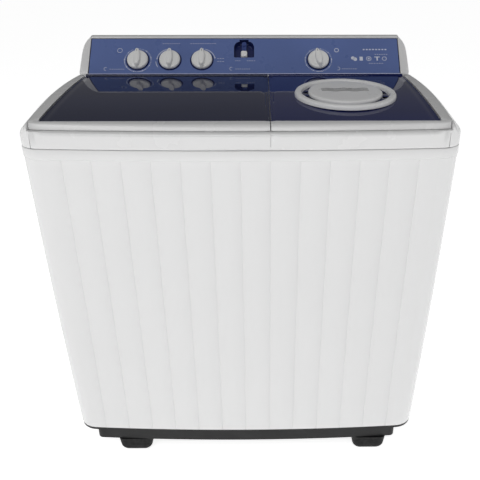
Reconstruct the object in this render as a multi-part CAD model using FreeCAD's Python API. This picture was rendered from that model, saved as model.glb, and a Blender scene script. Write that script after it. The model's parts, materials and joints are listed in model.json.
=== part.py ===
import FreeCAD, Part
import math
import os

os.makedirs("parts", exist_ok=True)

V = FreeCAD.Vector
X_AXIS = V(1, 0, 0)
Y_AXIS = V(0, 1, 0)
Z_AXIS = V(0, 0, 1)

# ---------------------------------------------------------------- driving dimensions (mm)
# Origin: centre of the footprint on the floor. +X to the operator's right, front faces -Y, +Z up.
WIDTH = 922.0
DEPTH = 572.0
HEIGHT = 1029.0
HALF_W = WIDTH / 2
FRONT_Y = -DEPTH / 2
BACK_Y = DEPTH / 2
CABINET_BACK_Y = 260.0
CABINET_BOTTOM_Z = 96.0
BAND_Z = 847.5                # lower edge of the cabinet's top band
SEAM_Z = 869.5                # joint between the cabinet and the top deck
BAND_STEP = 2.0               # how far the band stands out from the cabinet's sides
FRONT_CROWN_R = 6000.0        # plan radius of the gently bowed front
SIDE_TAPER = 0.066            # the sides close in towards the back, mm per mm
CORNER_R = 52.0
REAR_CORNER_R = 26.0
BOTTOM_HALF_W = 446.0         # half width of the cabinet at its bottom edge
BOTTOM_FRONT_Y = -253.0
WALL = 3.0

PLINTH_HALF_W = 400.0
PLINTH_CORNER_R = 14.0
PLINTH_FRONT_Y = -240.5
PLINTH_BACK_Y = 240.0
PLINTH_Z = 50.0
BASE_FLOOR_Z = 62.0
FOOT_XS = (-300.0, 332.0)
FOOT_FRONT_Y = -198.0
FOOT_REAR_Y = 190.0
FOOT_TOP = (91.0, 74.0)
FOOT_BOTTOM = (84.0, 66.0)
PAD_T = 4.0

ARCH_R = 3150.0               # side-view radius of the lids' top surface
ARCH_Y = 110.0                # where that surface is highest
ARCH_Z = 942.0
LID_HALF_X = 409.0            # outer edge of the clear lids
RECESS_HALF_X = 412.5
LID_FRONT_Y = -249.0
LID_REAR_Y = 137.5
LID_T = 3.0
LID_RIM = 9.5                 # depth of the rim under each lid's edge
SPLIT_X = 61.5                # line between the wash lid and the spin lid
SPLIT_GAP = 1.0
HANDLE_HALF_X = 430.0
HANDLE_FRONT_Y = -276.0
HANDLE_BOTTOM_Z = 906.5
FRONT_LEDGE = 10.0             # the grip strips stand this far back from the deck's front
HINGE_Y = 127.0
HINGE_Z = 940.5
HINGE_BARREL_R = 5.0
HINGE_PIN_R = 2.55
FIT = 0.05                    # running clearance per side

PANEL_FOOT = (141.0, 944.5)   # front lower corner of the control housing (y, z)
PANEL_FACE = (141.0, 945.5)
PANEL_LEAN = 43.7             # degrees back from vertical
PANEL_LENGTH = 107.0
HOUSING_HALF_X = 407.5
CAP_OUTLINE = [(400.0, 880.0), (430.5, 880.0), (430.3, 960.0), (429.6, 984.0), (428.0, 1003.0),
               (424.5, 1013.5), (419.5, 1020.5), (413.0, 1025.5), (405.0, 1029.5)]
FASCIA_T = 3.0
KNOB_R = 27.5
KNOB_BASE_H = 9.0
KNOB_H = 20.0
KNOB_STEM_R = 3.0
KNOB_ROW = 39.0               # distance of the knobs up the face
WASH_TIMER_X = -280.0
WASH_MODE_X = -196.0
DRAIN_KNOB_X = -112.0
SPIN_TIMER_X = 194.0
LEVER_X = -1.5
LEVER_PIVOT_S = 93.0
LEVER_WINDOW = (26.5, 47.0, 102.0)    # half width, lower and upper edge up the face

WASH_X = (-396.0, 38.0)
WASH_Y = (-232.0, 104.0)
WASH_FLOOR_Z = 380.0
TUB_WALL = 2.5
TUB_CORNER_R = 74.0
PULSATOR = (-179.0, -64.0)
PULSATOR_R = 150.0
SHAFT_R = 10.0
PULLEY_Z = 280.0
PULLEY_R = 105.0
MOTOR_PULLEY_R = 28.0
PULLEY_HALF_T = 8.0
BELT_W = 8.0
BELT_T = 6.0
WASH_MOTOR = (-30.0, 85.0)
SPIN = (237.0, -62.0)
DRAIN_TUB_R = 158.0
DRAIN_TUB_FLOOR_Z = 393.0
BASKET_R = 134.0
BASKET_Z = (425.0, 800.0)
BASKET_WALL = 1.6
SPIN_SHAFT_R = 8.0
DRUM_Z = (300.0, 330.0)
DRUM_R = 45.0
PRESS_LID_Z = 778.0
VALVE = (-112.0, 190.0)
VALVE_Z = (330.0, 400.0)
OUTLET_Z = 158.0
OUTLET_R = 16.0
INLET_R = 13.2
INLET_X = -5.0
INLET_Z = 945.0
VENT = (234.0, -82.0)
VENT_OUTER_R = 115.0
VENT_INNER_R = 99.5
VENT_DISC_R = 84.0
VENT_H = 10.0


# ---------------------------------------------------------------- shape helpers
def save(name, shape):
    """Write one node as its own STEP file."""
    clean = shape.removeSplitter()
    if not clean.isValid():
        clean = shape
    clean.exportStep(os.path.join("parts", name + ".step"))
    print(name, "valid" if clean.isValid() else "NOT VALID", "solids", len(clean.Solids),
          "volume_cm3", round(clean.Volume / 1000, 1))


def box(x0, x1, y0, y1, z0, z1):
    return Part.makeBox(x1 - x0, y1 - y0, z1 - z0, V(x0, y0, z0))


def cyl(x, y, z0, z1, r):
    return Part.makeCylinder(r, z1 - z0, V(x, y, z0), Z_AXIS)


def ring(x, y, z0, z1, outer, inner):
    return cyl(x, y, z0, z1, outer).cut(cyl(x, y, z0 - 1, z1 + 1, inner))


def rod(start, end, r):
    direction = V(*end).sub(V(*start))
    return Part.makeCylinder(r, direction.Length, V(*start), direction)


def fuse(shapes):
    return shapes[0].multiFuse(shapes[1:]) if len(shapes) > 1 else shapes[0]


def prism_x(points, x0, x1):
    """Extrude a closed outline of (y, z) points along X."""
    outline = [V(x0, y, z) for y, z in points]
    face = Part.Face(Part.makePolygon(outline + [outline[0]]))
    return face.extrude(V(x1 - x0, 0, 0))


def vertical_edges(shape):
    return [e for e in shape.Edges if len(e.Vertexes) == 2
            and abs(e.Vertexes[0].X - e.Vertexes[1].X) < 1e-6
            and abs(e.Vertexes[0].Y - e.Vertexes[1].Y) < 1e-6]


def edges_at(shape, z):
    return [e for e in shape.Edges if abs(e.BoundBox.ZMin - z) < 1e-6 and abs(e.BoundBox.ZMax - z) < 1e-6]


def rounded_box(x0, x1, y0, y1, z0, z1, r):
    """Box with round vertical corners."""
    solid = box(x0, x1, y0, y1, z0, z1)
    return solid.makeFillet(r, vertical_edges(solid))


def revolve(profile, x, y):
    """Turn a closed outline of (radius, z) points about the vertical line through x, y."""
    outline = [V(r, 0, z) for r, z in profile]
    face = Part.Face(Part.makePolygon(outline + [outline[0]]))
    solid = face.revolve(V(0, 0, 0), Z_AXIS, 360)
    solid.translate(V(x, y, 0))
    return solid


def belt_outline(centre_a, r_a, centre_b, r_b):
    """Outline of a taut band round two circles, at z = 0."""
    ax, ay = centre_a
    bx, by = centre_b
    heading = math.atan2(by - ay, bx - ax)
    wrap = math.acos((r_a - r_b) / math.hypot(bx - ax, by - ay))

    def on(cx, cy, r, angle):
        return V(cx + r * math.cos(angle), cy + r * math.sin(angle), 0)

    left, right = heading + wrap, heading - wrap
    edges = [
        Part.makeLine(on(ax, ay, r_a, right), on(bx, by, r_b, right)),
        Part.Arc(on(bx, by, r_b, right), on(bx, by, r_b, heading), on(bx, by, r_b, left)).toShape(),
        Part.makeLine(on(bx, by, r_b, left), on(ax, ay, r_a, left)),
        Part.Arc(on(ax, ay, r_a, left), on(ax, ay, r_a, heading + math.pi),
                 on(ax, ay, r_a, right)).toShape(),
    ]
    return Part.Wire(edges)


def plan_wire(z, half_w, front_y, back_y, inset=0.0, corner_r=CORNER_R):
    """Plan outline: bowed front, round corners, sides that close in towards the straight back."""
    crown = FRONT_CROWN_R - inset
    r = corner_r - inset
    rb = REAR_CORNER_R - inset
    half_w -= inset
    front_y += inset
    back_y -= inset
    crown_c = V(0, front_y + crown, z)
    corner_x = half_w - r
    corner = V(corner_x, crown_c.y - math.sqrt((crown - r) ** 2 - corner_x ** 2), z)
    side_n = V(1, SIDE_TAPER, 0).normalize()
    side_d = V(-SIDE_TAPER, 1, 0).normalize()
    front_t = crown_c + (corner - crown_c) * (crown / (crown - r))
    side_t = corner + side_n * r
    inner = side_t - side_n * rb
    rear = inner + side_d * ((back_y - rb - inner.y) / side_d.y)
    rear_side = rear + side_n * rb
    rear_back = rear + V(0, rb, 0)

    def mid(centre, a, b, radius):
        return centre + ((a - centre) + (b - centre)).normalize() * radius

    def flip(p):
        return V(-p.x, p.y, p.z)

    front_mid = mid(corner, front_t, side_t, r)
    rear_mid = mid(rear, rear_side, rear_back, rb)
    return Part.Wire([
        Part.Arc(flip(front_t), V(0, front_y, z), front_t).toShape(),
        Part.Arc(front_t, front_mid, side_t).toShape(),
        Part.makeLine(side_t, rear_side),
        Part.Arc(rear_side, rear_mid, rear_back).toShape(),
        Part.makeLine(rear_back, flip(rear_back)),
        Part.Arc(flip(rear_back), flip(rear_mid), flip(rear_side)).toShape(),
        Part.makeLine(flip(rear_side), flip(side_t)),
        Part.Arc(flip(side_t), flip(front_mid), flip(front_t)).toShape(),
    ])


def cabinet_plan(z, inset=0.0):
    """Outline of the tapering cabinet at height z."""
    t = (z - CABINET_BOTTOM_Z) / (BAND_Z - CABINET_BOTTOM_Z)
    half_w = BOTTOM_HALF_W + t * (HALF_W - BAND_STEP - BOTTOM_HALF_W)
    front_y = BOTTOM_FRONT_Y + t * (FRONT_Y + BAND_STEP - BOTTOM_FRONT_Y)
    return plan_wire(z, half_w, front_y, CABINET_BACK_Y, inset)


def top_plan(z, inset=0.0):
    """Outline of the band and the deck at height z."""
    return plan_wire(z, HALF_W, FRONT_Y, CABINET_BACK_Y, inset)


def prism(wire, height):
    return Part.Face(wire).extrude(V(0, 0, height))


def arch_below(offset, half_x=500.0, floor_z=300.0):
    """Everything under the lids' arched surface, moved up by offset."""
    r = ARCH_R + offset
    centre = V(-half_x, ARCH_Y, ARCH_Z - ARCH_R)

    def at(y):
        return V(-half_x, y, centre.z + math.sqrt(r * r - (y - ARCH_Y) ** 2))

    a, b = at(-320.0), at(320.0)
    low_a, low_b = V(-half_x, -320, floor_z), V(-half_x, 320, floor_z)
    wire = Part.Wire([
        Part.Arc(a, at(0.0), b).toShape(), Part.makeLine(b, low_b),
        Part.makeLine(low_b, low_a), Part.makeLine(low_a, a)])
    return Part.Face(wire).extrude(V(2 * half_x, 0, 0))


def arch_layer(top, bottom):
    return arch_below(top).cut(arch_below(bottom, 501.0, 299.0))


def arch_z(y):
    return ARCH_Z - ARCH_R + math.sqrt(ARCH_R ** 2 - (y - ARCH_Y) ** 2)


def on_panel(shape, x, s, lift=0.0):
    """Place a shape made with +Z out of the panel and +Y up its slope at x, s up the face."""
    lean = math.radians(PANEL_LEAN)
    y = PANEL_FACE[0] + s * math.sin(lean) - lift * math.cos(lean)
    z = PANEL_FACE[1] + s * math.cos(lean) + lift * math.sin(lean)
    placed = shape.copy()
    placed.Placement = FreeCAD.Placement(V(x, y, z), FreeCAD.Rotation(X_AXIS, 90 - PANEL_LEAN))
    return placed


# ---------------------------------------------------------------- cabinet and base
def cabinet_shell():
    outer = Part.makeLoft([cabinet_plan(CABINET_BOTTOM_Z), cabinet_plan(BAND_Z)], True, True)
    inner = Part.makeLoft([cabinet_plan(CABINET_BOTTOM_Z - 5, WALL), cabinet_plan(BAND_Z + 5, WALL)], True, True)
    band = prism(top_plan(BAND_Z), SEAM_Z - BAND_Z)
    band_hollow = prism(top_plan(BAND_Z + WALL, WALL + BAND_STEP), SEAM_Z - BAND_Z)
    shell = outer.fuse(band).cut(inner.fuse(band_hollow))
    opening = box(-330, 330, CABINET_BACK_Y - 15, CABINET_BACK_Y + 5, 135, 600)
    shell = shell.cut(opening)
    return shell


def rear_cover():
    y0 = CABINET_BACK_Y + 0.2
    plate = box(-345, 345, y0, y0 + 3, 122, 613)
    plate = plate.makeFillet(14, [e for e in plate.Edges if abs(e.Length - 3) < 1e-6])
    for column in (-190, 190):
        for row in range(9):
            z = 330 + row * 24
            plate = plate.cut(box(column - 90, column + 90, y0 - 5, y0 + 8, z, z + 6))
    plate = plate.cut(rod((VALVE[0], y0 - 5, OUTLET_Z), (VALVE[0], y0 + 8, OUTLET_Z), OUTLET_R + 6))
    for x, z in cover_screw_places():
        plate = plate.cut(rod((x, y0 - 5, z), (x, y0 + 8, z), 2.3))
    return plate.cut(rod((-300, y0 - 5, 160), (-300, y0 + 8, 160), 8.2))


def cover_screw_places():
    return [(x, z) for x in (-338, 0, 338) for z in (129, 606)] + [(-338, 367), (338, 367)]


def rear_cover_screws():
    y0 = CABINET_BACK_Y + 3.3
    screws = []
    for x, z in cover_screw_places():
        head = rod((x, y0, z), (x, y0 + 2.4, z), 4.2)
        screws.append(head.fuse(rod((x, y0 + 0.1, z), (x, CABINET_BACK_Y + 0.3, z), 2.0)))
    return Part.Compound(screws)


def plinth_wire(z, inset=0.0):
    return plan_wire(z, PLINTH_HALF_W, PLINTH_FRONT_Y, PLINTH_BACK_Y, inset, PLINTH_CORNER_R)


def base_pan():
    floor_z = BASE_FLOOR_Z
    plinth = prism(plinth_wire(PLINTH_Z), 39.0)
    hollow = prism(plinth_wire(floor_z + 3, 4.0), 60.0)
    under = prism(plinth_wire(PLINTH_Z - 5, 4.0), floor_z - PLINTH_Z + 5)
    rim = prism(cabinet_plan(CABINET_BOTTOM_Z, 1.5), -7.0)
    rim.translate(V(0, 0, -0.2))
    pan = plinth.fuse(rim).cut(hollow).cut(under)
    vents = []
    for i in range(6):
        vents.append(box(-260 + i * 34, -244 + i * 34, -60, 60, floor_z - 2, floor_z + 6))
    pan = pan.cut(fuse(vents))
    pan = pan.cut(cyl(SPIN[0], SPIN[1], floor_z - 2, floor_z + 6, 42))
    for x, y in foot_places():
        boss = box(x - 36, x + 36, y - 28, y + 28, PLINTH_Z, floor_z + 1)
        pan = pan.fuse(boss.cut(cyl(x, y, PLINTH_Z - 1, PLINTH_Z + 8, 8.1)))
    return pan


def rounded_plate_wire(z, size, r, centre):
    block = rounded_box(centre[0] - size[0] / 2, centre[0] + size[0] / 2,
                        centre[1] - size[1] / 2, centre[1] + size[1] / 2, z, z + 1, r)
    face = [f for f in block.Faces if abs(f.CenterOfMass.z - z) < 1e-6][0]
    return face.OuterWire


def foot_places():
    return [(x, y) for x in FOOT_XS for y in (FOOT_FRONT_Y, FOOT_REAR_Y)]


def feet():
    solids = []
    for place in foot_places():
        wires = [rounded_plate_wire(PAD_T, FOOT_BOTTOM, 16, place),
                 rounded_plate_wire(PLINTH_Z - 0.1, FOOT_TOP, 18, place)]
        foot = Part.makeLoft(wires, True, True)
        foot = foot.makeFillet(12.0, edges_at(foot, PAD_T))
        spigot = cyl(place[0], place[1], PLINTH_Z - 1, PLINTH_Z + 6, 8.0)
        solids.append(foot.fuse(spigot))
    return Part.Compound(solids)


def foot_pads():
    return Part.Compound([cyl(x, y, 0, PAD_T, 17) for x, y in foot_places()])


# ---------------------------------------------------------------- deck
def deck_frame():
    top_z = 960.0
    outer = prism(top_plan(SEAM_Z + 0.3, 0.6), top_z - SEAM_Z)
    body = outer.common(arch_below(0.0))
    body = body.cut(box(-500, 500, PANEL_FOOT[0] - 0.2, 300, 925, top_z + 20))
    roll = [e for e in body.Edges if e.BoundBox.ZMin > 895 and e.BoundBox.YMax < PANEL_FOOT[0] + 1
            and (e.BoundBox.YMin < -240 or abs(e.BoundBox.XMin) > 420)
            and e.BoundBox.YMax - e.BoundBox.YMin > 8 and e.BoundBox.XMax * e.BoundBox.XMin > -460 ** 2]
    try:
        body = body.makeFillet(13.0, roll)
    except Part.OCCError:
        print("deck roll fillet skipped")
    front_slot = box(-HANDLE_HALF_X - 3, HANDLE_HALF_X + 3, -320, LID_FRONT_Y, HANDLE_BOTTOM_Z - 0.6, top_z)
    lid_bay = box(-RECESS_HALF_X, RECESS_HALF_X, LID_FRONT_Y - 0.6, PANEL_FOOT[0], 880, top_z)
    body = body.cut(front_slot).cut(lid_bay.cut(arch_below(-10.0)))
    body = body.cut(box(-RECESS_HALF_X, RECESS_HALF_X, 112, PANEL_FOOT[0] + 0.1, 926, top_z))
    hollow = prism(top_plan(SEAM_Z - 2, 4.0), top_z - SEAM_Z).common(arch_below(-13.0))
    hollow = hollow.cut(box(-500, 500, -320, LID_FRONT_Y + 3, HANDLE_BOTTOM_Z - 3.6, top_z + 5))
    hollow = hollow.cut(box(-500, 500, 109, 320, 922, top_z + 5))
    body = body.cut(hollow)
    body = body.cut(rounded_box(-384, 26, -220, 92, 880, top_z, 62))
    body = body.cut(cyl(SPIN[0], SPIN[1], 880, top_z, 146))
    post = box(SPLIT_X - 9, SPLIT_X + 9, HINGE_Y - 5, HINGE_Y + 5, 925, HINGE_Z + 4)
    body = body.fuse(post)
    for x0, x1 in hinge_pin_spans():
        body = body.cut(rod((x0, HINGE_Y, HINGE_Z), (x1, HINGE_Y, HINGE_Z), HINGE_PIN_R))
    body = body.cut(cyl(VALVE[0], VALVE[1], 900, 940, 6))
    groove = box(SPLIT_X - 1.0, SPLIT_X + 1.0, FRONT_Y - 2, FRONT_Y + 1.9, 877, 904)
    return body.cut(groove)


def hinge_pin_spans():
    return [(-424.0, -400.0), (SPLIT_X - 17, SPLIT_X + 17), (400.0, 424.0)]


def lid_hinge_pins():
    return Part.Compound([rod((x0, HINGE_Y, HINGE_Z), (x1, HINGE_Y, HINGE_Z), HINGE_PIN_R)
                          for x0, x1 in hinge_pin_spans()])


# ---------------------------------------------------------------- lids
def lid_panel(x0, x1, barrel_x0, barrel_x1):
    """Clear moulded lid: arched plate, a rim under its edges, and a hinge barrel at the rear."""
    plate = box(x0, x1, LID_FRONT_Y, LID_REAR_Y, 880, 960).common(arch_layer(0.0, -LID_T))
    rim_outer = box(x0, x1, LID_FRONT_Y, 118, 880, 960)
    rim_inner = box(x0 + 3, x1 - 3, LID_FRONT_Y + 3, 115, 870, 970)
    rim = rim_outer.cut(rim_inner).common(arch_layer(-LID_T + 0.5, -LID_RIM))
    lid = plate.fuse(rim)
    lid = lid.cut(box(barrel_x0 - 60, barrel_x0, 116, 150, 880, 960))
    lid = lid.cut(box(barrel_x1, barrel_x1 + 60, 116, 150, 880, 960))
    barrel = rod((barrel_x0, HINGE_Y, HINGE_Z), (barrel_x1, HINGE_Y, HINGE_Z), HINGE_BARREL_R)
    bore = rod((barrel_x0 - 5, HINGE_Y, HINGE_Z), (barrel_x1 + 5, HINGE_Y, HINGE_Z), HINGE_PIN_R + FIT)
    return lid.fuse(barrel).cut(bore)


def lid_handle(x0, x1):
    """White grip strip along a lid's front edge."""
    z0 = arch_z(LID_FRONT_Y)
    outline = [(LID_FRONT_Y - 0.1, z0), (-262.0, z0 - 2.6), (-271.0, z0 - 7.5),
               (HANDLE_FRONT_Y, z0 - 13), (HANDLE_FRONT_Y, HANDLE_BOTTOM_Z), (LID_FRONT_Y - 0.1, HANDLE_BOTTOM_Z)]
    bowed_front = prism(top_plan(HANDLE_BOTTOM_Z - 5, FRONT_LEDGE), 40)
    return prism_x(outline, x0, x1).common(bowed_front)


def vent_frame(shape):
    """Tilt a shape made round the origin on to the arched lid at the vent."""
    slope = math.degrees(math.asin((ARCH_Y - VENT[1]) / ARCH_R))
    placed = shape.copy()
    placed.Placement = FreeCAD.Placement(V(VENT[0], VENT[1], arch_z(VENT[1])),
                                         FreeCAD.Rotation(X_AXIS, slope))
    return placed


def vent_ring():
    rim = ring(0, 0, -3, VENT_H, VENT_OUTER_R, VENT_INNER_R)
    rim = rim.makeFillet(4, [e for e in edges_at(rim, VENT_H)])
    rim = vent_frame(rim).cut(arch_below(0.0))
    grille = ring(0, 0, -2.5, 1.5, VENT_INNER_R - 2.5, 40)
    for i in range(16):
        slot = box(87.0, 94.5, -8, 8, -4, 4)
        slot.rotate(V(0, 0, 0), Z_AXIS, 22.5 * i)
        grille = grille.cut(slot)
    web = ring(0, 0, 0.9, 4.5, VENT_INNER_R + 3, VENT_INNER_R - 3)
    return rim.fuse(vent_frame(grille)).fuse(vent_frame(web).cut(arch_below(0.0)))


def vent_disc():
    disc = cyl(0, 0, 1.6, 11, VENT_DISC_R)
    disc = disc.makeFillet(5, edges_at(disc, 11))
    return vent_frame(disc)


def spin_lid_panel():
    x0 = SPLIT_X + SPLIT_GAP
    lid = lid_panel(x0, LID_HALF_X, SPLIT_X + 11, LID_HALF_X)
    return lid.cut(cyl(VENT[0], VENT[1], 900, 960, VENT_INNER_R - 1.5))


# ---------------------------------------------------------------- control panel
def housing_outline(inset=0.0):
    """Side view of the control housing, as (y, z) points of a closed wire."""
    lean = math.radians(PANEL_LEAN)
    top_y = PANEL_FACE[0] + (PANEL_LENGTH + 1.5) * math.sin(lean)
    top_z = PANEL_FACE[1] + (PANEL_LENGTH + 1.5) * math.cos(lean)
    points = [(PANEL_FOOT[0], 925.3), (PANEL_FOOT[0], PANEL_FACE[1]), (top_y, top_z),
              (top_y + 4, top_z + 3.4), (top_y + 12, HEIGHT), (top_y + 24, HEIGHT), (BACK_Y - 22, HEIGHT - 5),
              (BACK_Y - 6, HEIGHT - 13), (BACK_Y, HEIGHT - 30), (BACK_Y, 884), (CABINET_BACK_Y + 0.4, 884), (CABINET_BACK_Y + 0.4, 925.3)]
    wire = Part.makePolygon([V(0, y, z) for y, z in points + [points[0]]])
    if inset:
        wire = wire.makeOffset2D(-inset, 2)
    return wire


def housing_solid(x0, x1, inset=0.0):
    solid = Part.Face(housing_outline(inset)).extrude(V(x1 - x0, 0, 0))
    solid.translate(V(x0, 0, 0))
    return solid


def control_housing():
    shell = housing_solid(-HOUSING_HALF_X, HOUSING_HALF_X)
    shell = shell.cut(housing_solid(-HOUSING_HALF_X - 2, HOUSING_HALF_X + 2, WALL))
    face_cut = box(-HOUSING_HALF_X - 2, HOUSING_HALF_X + 2, 0.0, PANEL_LENGTH, -9, 9)
    shell = shell.cut(on_panel(face_cut, 0, 0))
    pocket = box(-45, 35, 250, BACK_Y + 4, 895, 975)
    tray = box(-48, 38, 252, BACK_Y - 0.5, 892, 978)
    shell = shell.cut(pocket)
    tray = tray.cut(box(-45, 35, 255, BACK_Y + 4, 895, 975))
    tray = tray.cut(box(-60, 60, 240, CABINET_BACK_Y + 0.4, 880, 925.3))
    bottom = box(-HOUSING_HALF_X - 1, HOUSING_HALF_X + 1, PANEL_FOOT[0] + WALL, 251.9, 920, 930)
    shell = shell.cut(bottom).fuse(tray)
    shell = shell.cut(rod((INLET_X, 240, INLET_Z), (INLET_X, 262, INLET_Z), 15.5))
    for i in range(10):
        x = -330 + i * 14
        shell = shell.cut(box(x, x + 5, BACK_Y - 8, BACK_Y + 4, 905, 965))
    return shell


def end_cap(side):
    x0, x1 = HOUSING_HALF_X + 0.3, CAP_OUTLINE[1][0]
    cap = housing_solid(x0, x1)
    cap = cap.cut(housing_solid(x0 - 2, x1 - 7, WALL))
    wire = Part.makePolygon([V(x, 100, z) for x, z in CAP_OUTLINE + [CAP_OUTLINE[0]]])
    cap = cap.common(Part.Face(wire).extrude(V(0, 220, 0)))
    if side < 0:
        cap = cap.mirror(V(0, 0, 0), X_AXIS)
    return cap


def fascia_plate():
    plate = box(-HOUSING_HALF_X + 0.5, HOUSING_HALF_X - 0.5, 0.3, PANEL_LENGTH - 0.3, -FASCIA_T, 0)
    for x in knob_xs():
        plate = plate.cut(cyl(x, KNOB_ROW, -1.0, 1, KNOB_R + 3.5))
        plate = plate.cut(cyl(x, KNOB_ROW, -9, 1, KNOB_STEM_R + 1))
    half, low, high = LEVER_WINDOW
    window = box(LEVER_X - half, LEVER_X + half, low, high, -9, 9)
    window = window.makeFillet(9, [e for e in window.Edges if abs(e.Length - 18) < 1e-6])
    return on_panel(plate.cut(window), 0, 0)


def knob_xs():
    return (WASH_TIMER_X, WASH_MODE_X, DRAIN_KNOB_X, SPIN_TIMER_X)


def knob(x, angle=0.0):
    base = Part.makeCone(KNOB_R, KNOB_R - 1.5, KNOB_BASE_H - 0.6 + 1.0)
    base.translate(V(0, 0, -0.4))
    base = base.makeFillet(2.0, edges_at(base, KNOB_BASE_H))
    w, tip, length = 8.5, 5.0, 26.0
    grip_outline = [V(-w, 0, 0), V(-w, 6, 0), V(-tip, length, 0), V(tip, length, 0), V(w, 6, 0), V(w, -6, 0),
                    V(tip, -length, 0), V(-tip, -length, 0), V(-w, -6, 0)]
    grip = Part.Face(Part.makePolygon(grip_outline + [grip_outline[0]])).extrude(V(0, 0, KNOB_H - 1))
    grip = grip.translated(V(0, 0, 1)).common(cyl(0, 0, 0, KNOB_H, KNOB_R - 1))
    grip = grip.makeFillet(2.2, edges_at(grip, KNOB_H))
    stem = cyl(0, 0, -16, 1, KNOB_STEM_R)
    solid = fuse([base, grip, stem])
    solid.rotate(V(0, 0, 0), Z_AXIS, angle)
    return on_panel(solid, x, KNOB_ROW)


def switch_body(x, depth, half):
    """Clockwork or switch block behind the panel, with the bore its knob's stem turns in."""
    block = box(-half, half, -half, half, -FASCIA_T - 1 - depth, -FASCIA_T - 1)
    block = block.makeFillet(4, [e for e in block.Edges if abs(e.Length - depth) < 1e-6])
    nose = cyl(0, 0, -FASCIA_T - 1.5, -FASCIA_T - 0.2, 9)
    block = block.fuse(nose)
    return on_panel(block.cut(cyl(0, 0, -17, 2, KNOB_STEM_R + FIT)), x, KNOB_ROW)


def lever_guide():
    """Dark tray behind the fascia's window, in which the inlet lever swings."""
    half, low, high = LEVER_WINDOW
    depth = 17.0
    outer = box(LEVER_X - half - 2.5, LEVER_X + half + 2.5, low - 2.5, high + 2.5, -depth - 2, -FASCIA_T - 0.2)
    inner = box(LEVER_X - half, LEVER_X + half, low, high, -depth, 1)
    tray = outer.cut(inner)
    tray = tray.fuse(cyl(LEVER_X, LEVER_PIVOT_S, -depth - 8, -depth - 1, 7))
    return on_panel(tray.cut(cyl(LEVER_X, LEVER_PIVOT_S, -depth - 9, 0, KNOB_STEM_R + FIT)), 0, 0)


def inlet_lever():
    arm_length = LEVER_PIVOT_S - 62.0
    arm = box(LEVER_X - 5, LEVER_X + 5, LEVER_PIVOT_S - arm_length, LEVER_PIVOT_S, -12, -6)
    hub = cyl(LEVER_X, LEVER_PIVOT_S, -16, -5, 6.5)
    tip = box(LEVER_X - 8.5, LEVER_X + 8.5, 49, 67, -12, 4)
    tip = tip.makeFillet(3, [e for e in tip.Edges if e.BoundBox.ZMin > -11])
    stem = cyl(LEVER_X, LEVER_PIVOT_S, -24, -5, KNOB_STEM_R)
    return on_panel(fuse([arm, hub, tip, stem]), 0, 0)


def water_inlet():
    """Threaded spigot in the rear pocket, with its flange and the block that joins the duct."""
    spigot = rod((INLET_X, 249, INLET_Z), (INLET_X, 283, INLET_Z), INLET_R)
    spigot = spigot.fuse(rod((INLET_X, 249, INLET_Z), (INLET_X, 257, INLET_Z), 15))
    flange = rod((INLET_X, 247.5, INLET_Z), (INLET_X, 251.7, INLET_Z), 18)
    elbow = box(INLET_X - 12, INLET_X + 12, 226, 248, INLET_Z - 12, INLET_Z + 13)
    bore = rod((INLET_X, 235, INLET_Z), (INLET_X, 290, INLET_Z), 9)
    return fuse([spigot, flange, elbow]).cut(bore)


def inlet_duct():
    """Flat duct that carries water from the inlet to the tubs, behind the lever guide."""
    duct = box(-60, 130, 205, 225.5, INLET_Z - 14, INLET_Z + 12)
    duct = duct.cut(box(-57, 127, 208, 222, INLET_Z - 11, INLET_Z + 9))
    return duct.cut(rod((INLET_X, 221, INLET_Z), (INLET_X, 230, INLET_Z), 9))


# ---------------------------------------------------------------- wash side
def wash_tub():
    x0, x1 = WASH_X
    y0, y1 = WASH_Y
    w = TUB_WALL
    outer = rounded_box(x0 - w, x1 + w, y0 - w, y1 + w, WASH_FLOOR_Z - 4, 960, TUB_CORNER_R + w)
    outer = outer.makeFillet(34, edges_at(outer, WASH_FLOOR_Z - 4))
    inner = rounded_box(x0, x1, y0, y1, WASH_FLOOR_Z, 970, TUB_CORNER_R)
    inner = inner.makeFillet(31, edges_at(inner, WASH_FLOOR_Z))
    lip = rounded_box(x0 - 9, x1 + 9, y0 - 9, y1 + 4.5, 880, 960, TUB_CORNER_R)
    tub = outer.cut(inner).common(arch_below(-13.3))
    tub = tub.fuse(lip.cut(inner).common(arch_layer(-13.3, -16.3)))
    tub = tub.cut(cyl(PULSATOR[0], PULSATOR[1], WASH_FLOOR_Z - 10, WASH_FLOOR_Z + 5, 14))
    tub = tub.cut(rounded_box(-150, -74, 68, 90, WASH_FLOOR_Z - 10, WASH_FLOOR_Z + 14, 8))
    for i in range(7):
        x = 4 - i * 7
        tub = tub.cut(box(x - 2, x + 2, y1 - 5, y1 + 10, 790, 850))
    return tub


def lint_filter():
    """Clip-on lint trap on the wash tub's back wall: a frame with a ribbed window."""
    y1 = WASH_Y[1] - 0.3
    body = rounded_box(-235, -125, y1 - 26, y1, 560, 740, 10)
    body = body.cut(box(-231, -129, y1 - 22, y1 - 3, 566, 746))
    for i in range(8):
        x = -223 + i * 12
        body = body.cut(box(x, x + 6, y1 - 30, y1 - 20, 580, 725))
    return body


def overflow_pipe():
    """Duct outside the tub's back wall, from the overflow slots down to the drain valve."""
    y0 = WASH_Y[1] + TUB_WALL + 0.3
    outer = box(-52, 16, y0, y0 + 34, 420, 862)
    return outer.cut(box(-49, 13, y0 - 1, y0 + 31, 423, 859))


def pulsator_bearing():
    x, y = PULSATOR
    z1 = WASH_FLOOR_Z - 4.2
    body = cyl(x, y, 304, z1, 32).fuse(cyl(x, y, z1 - 6, z1, 66))
    for i in range(6):
        rib = box(30, 62, -2, 2, z1 - 34, z1 - 5)
        rib = rib.cut(rod((64, -5, z1 - 36), (64, 5, z1 - 36), 27))
        rib.rotate(V(0, 0, 0), Z_AXIS, 60 * i)
        rib.translate(V(x, y, 0))
        body = body.fuse(rib)
    return body.cut(cyl(x, y, 300, 400, SHAFT_R + FIT))


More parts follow.
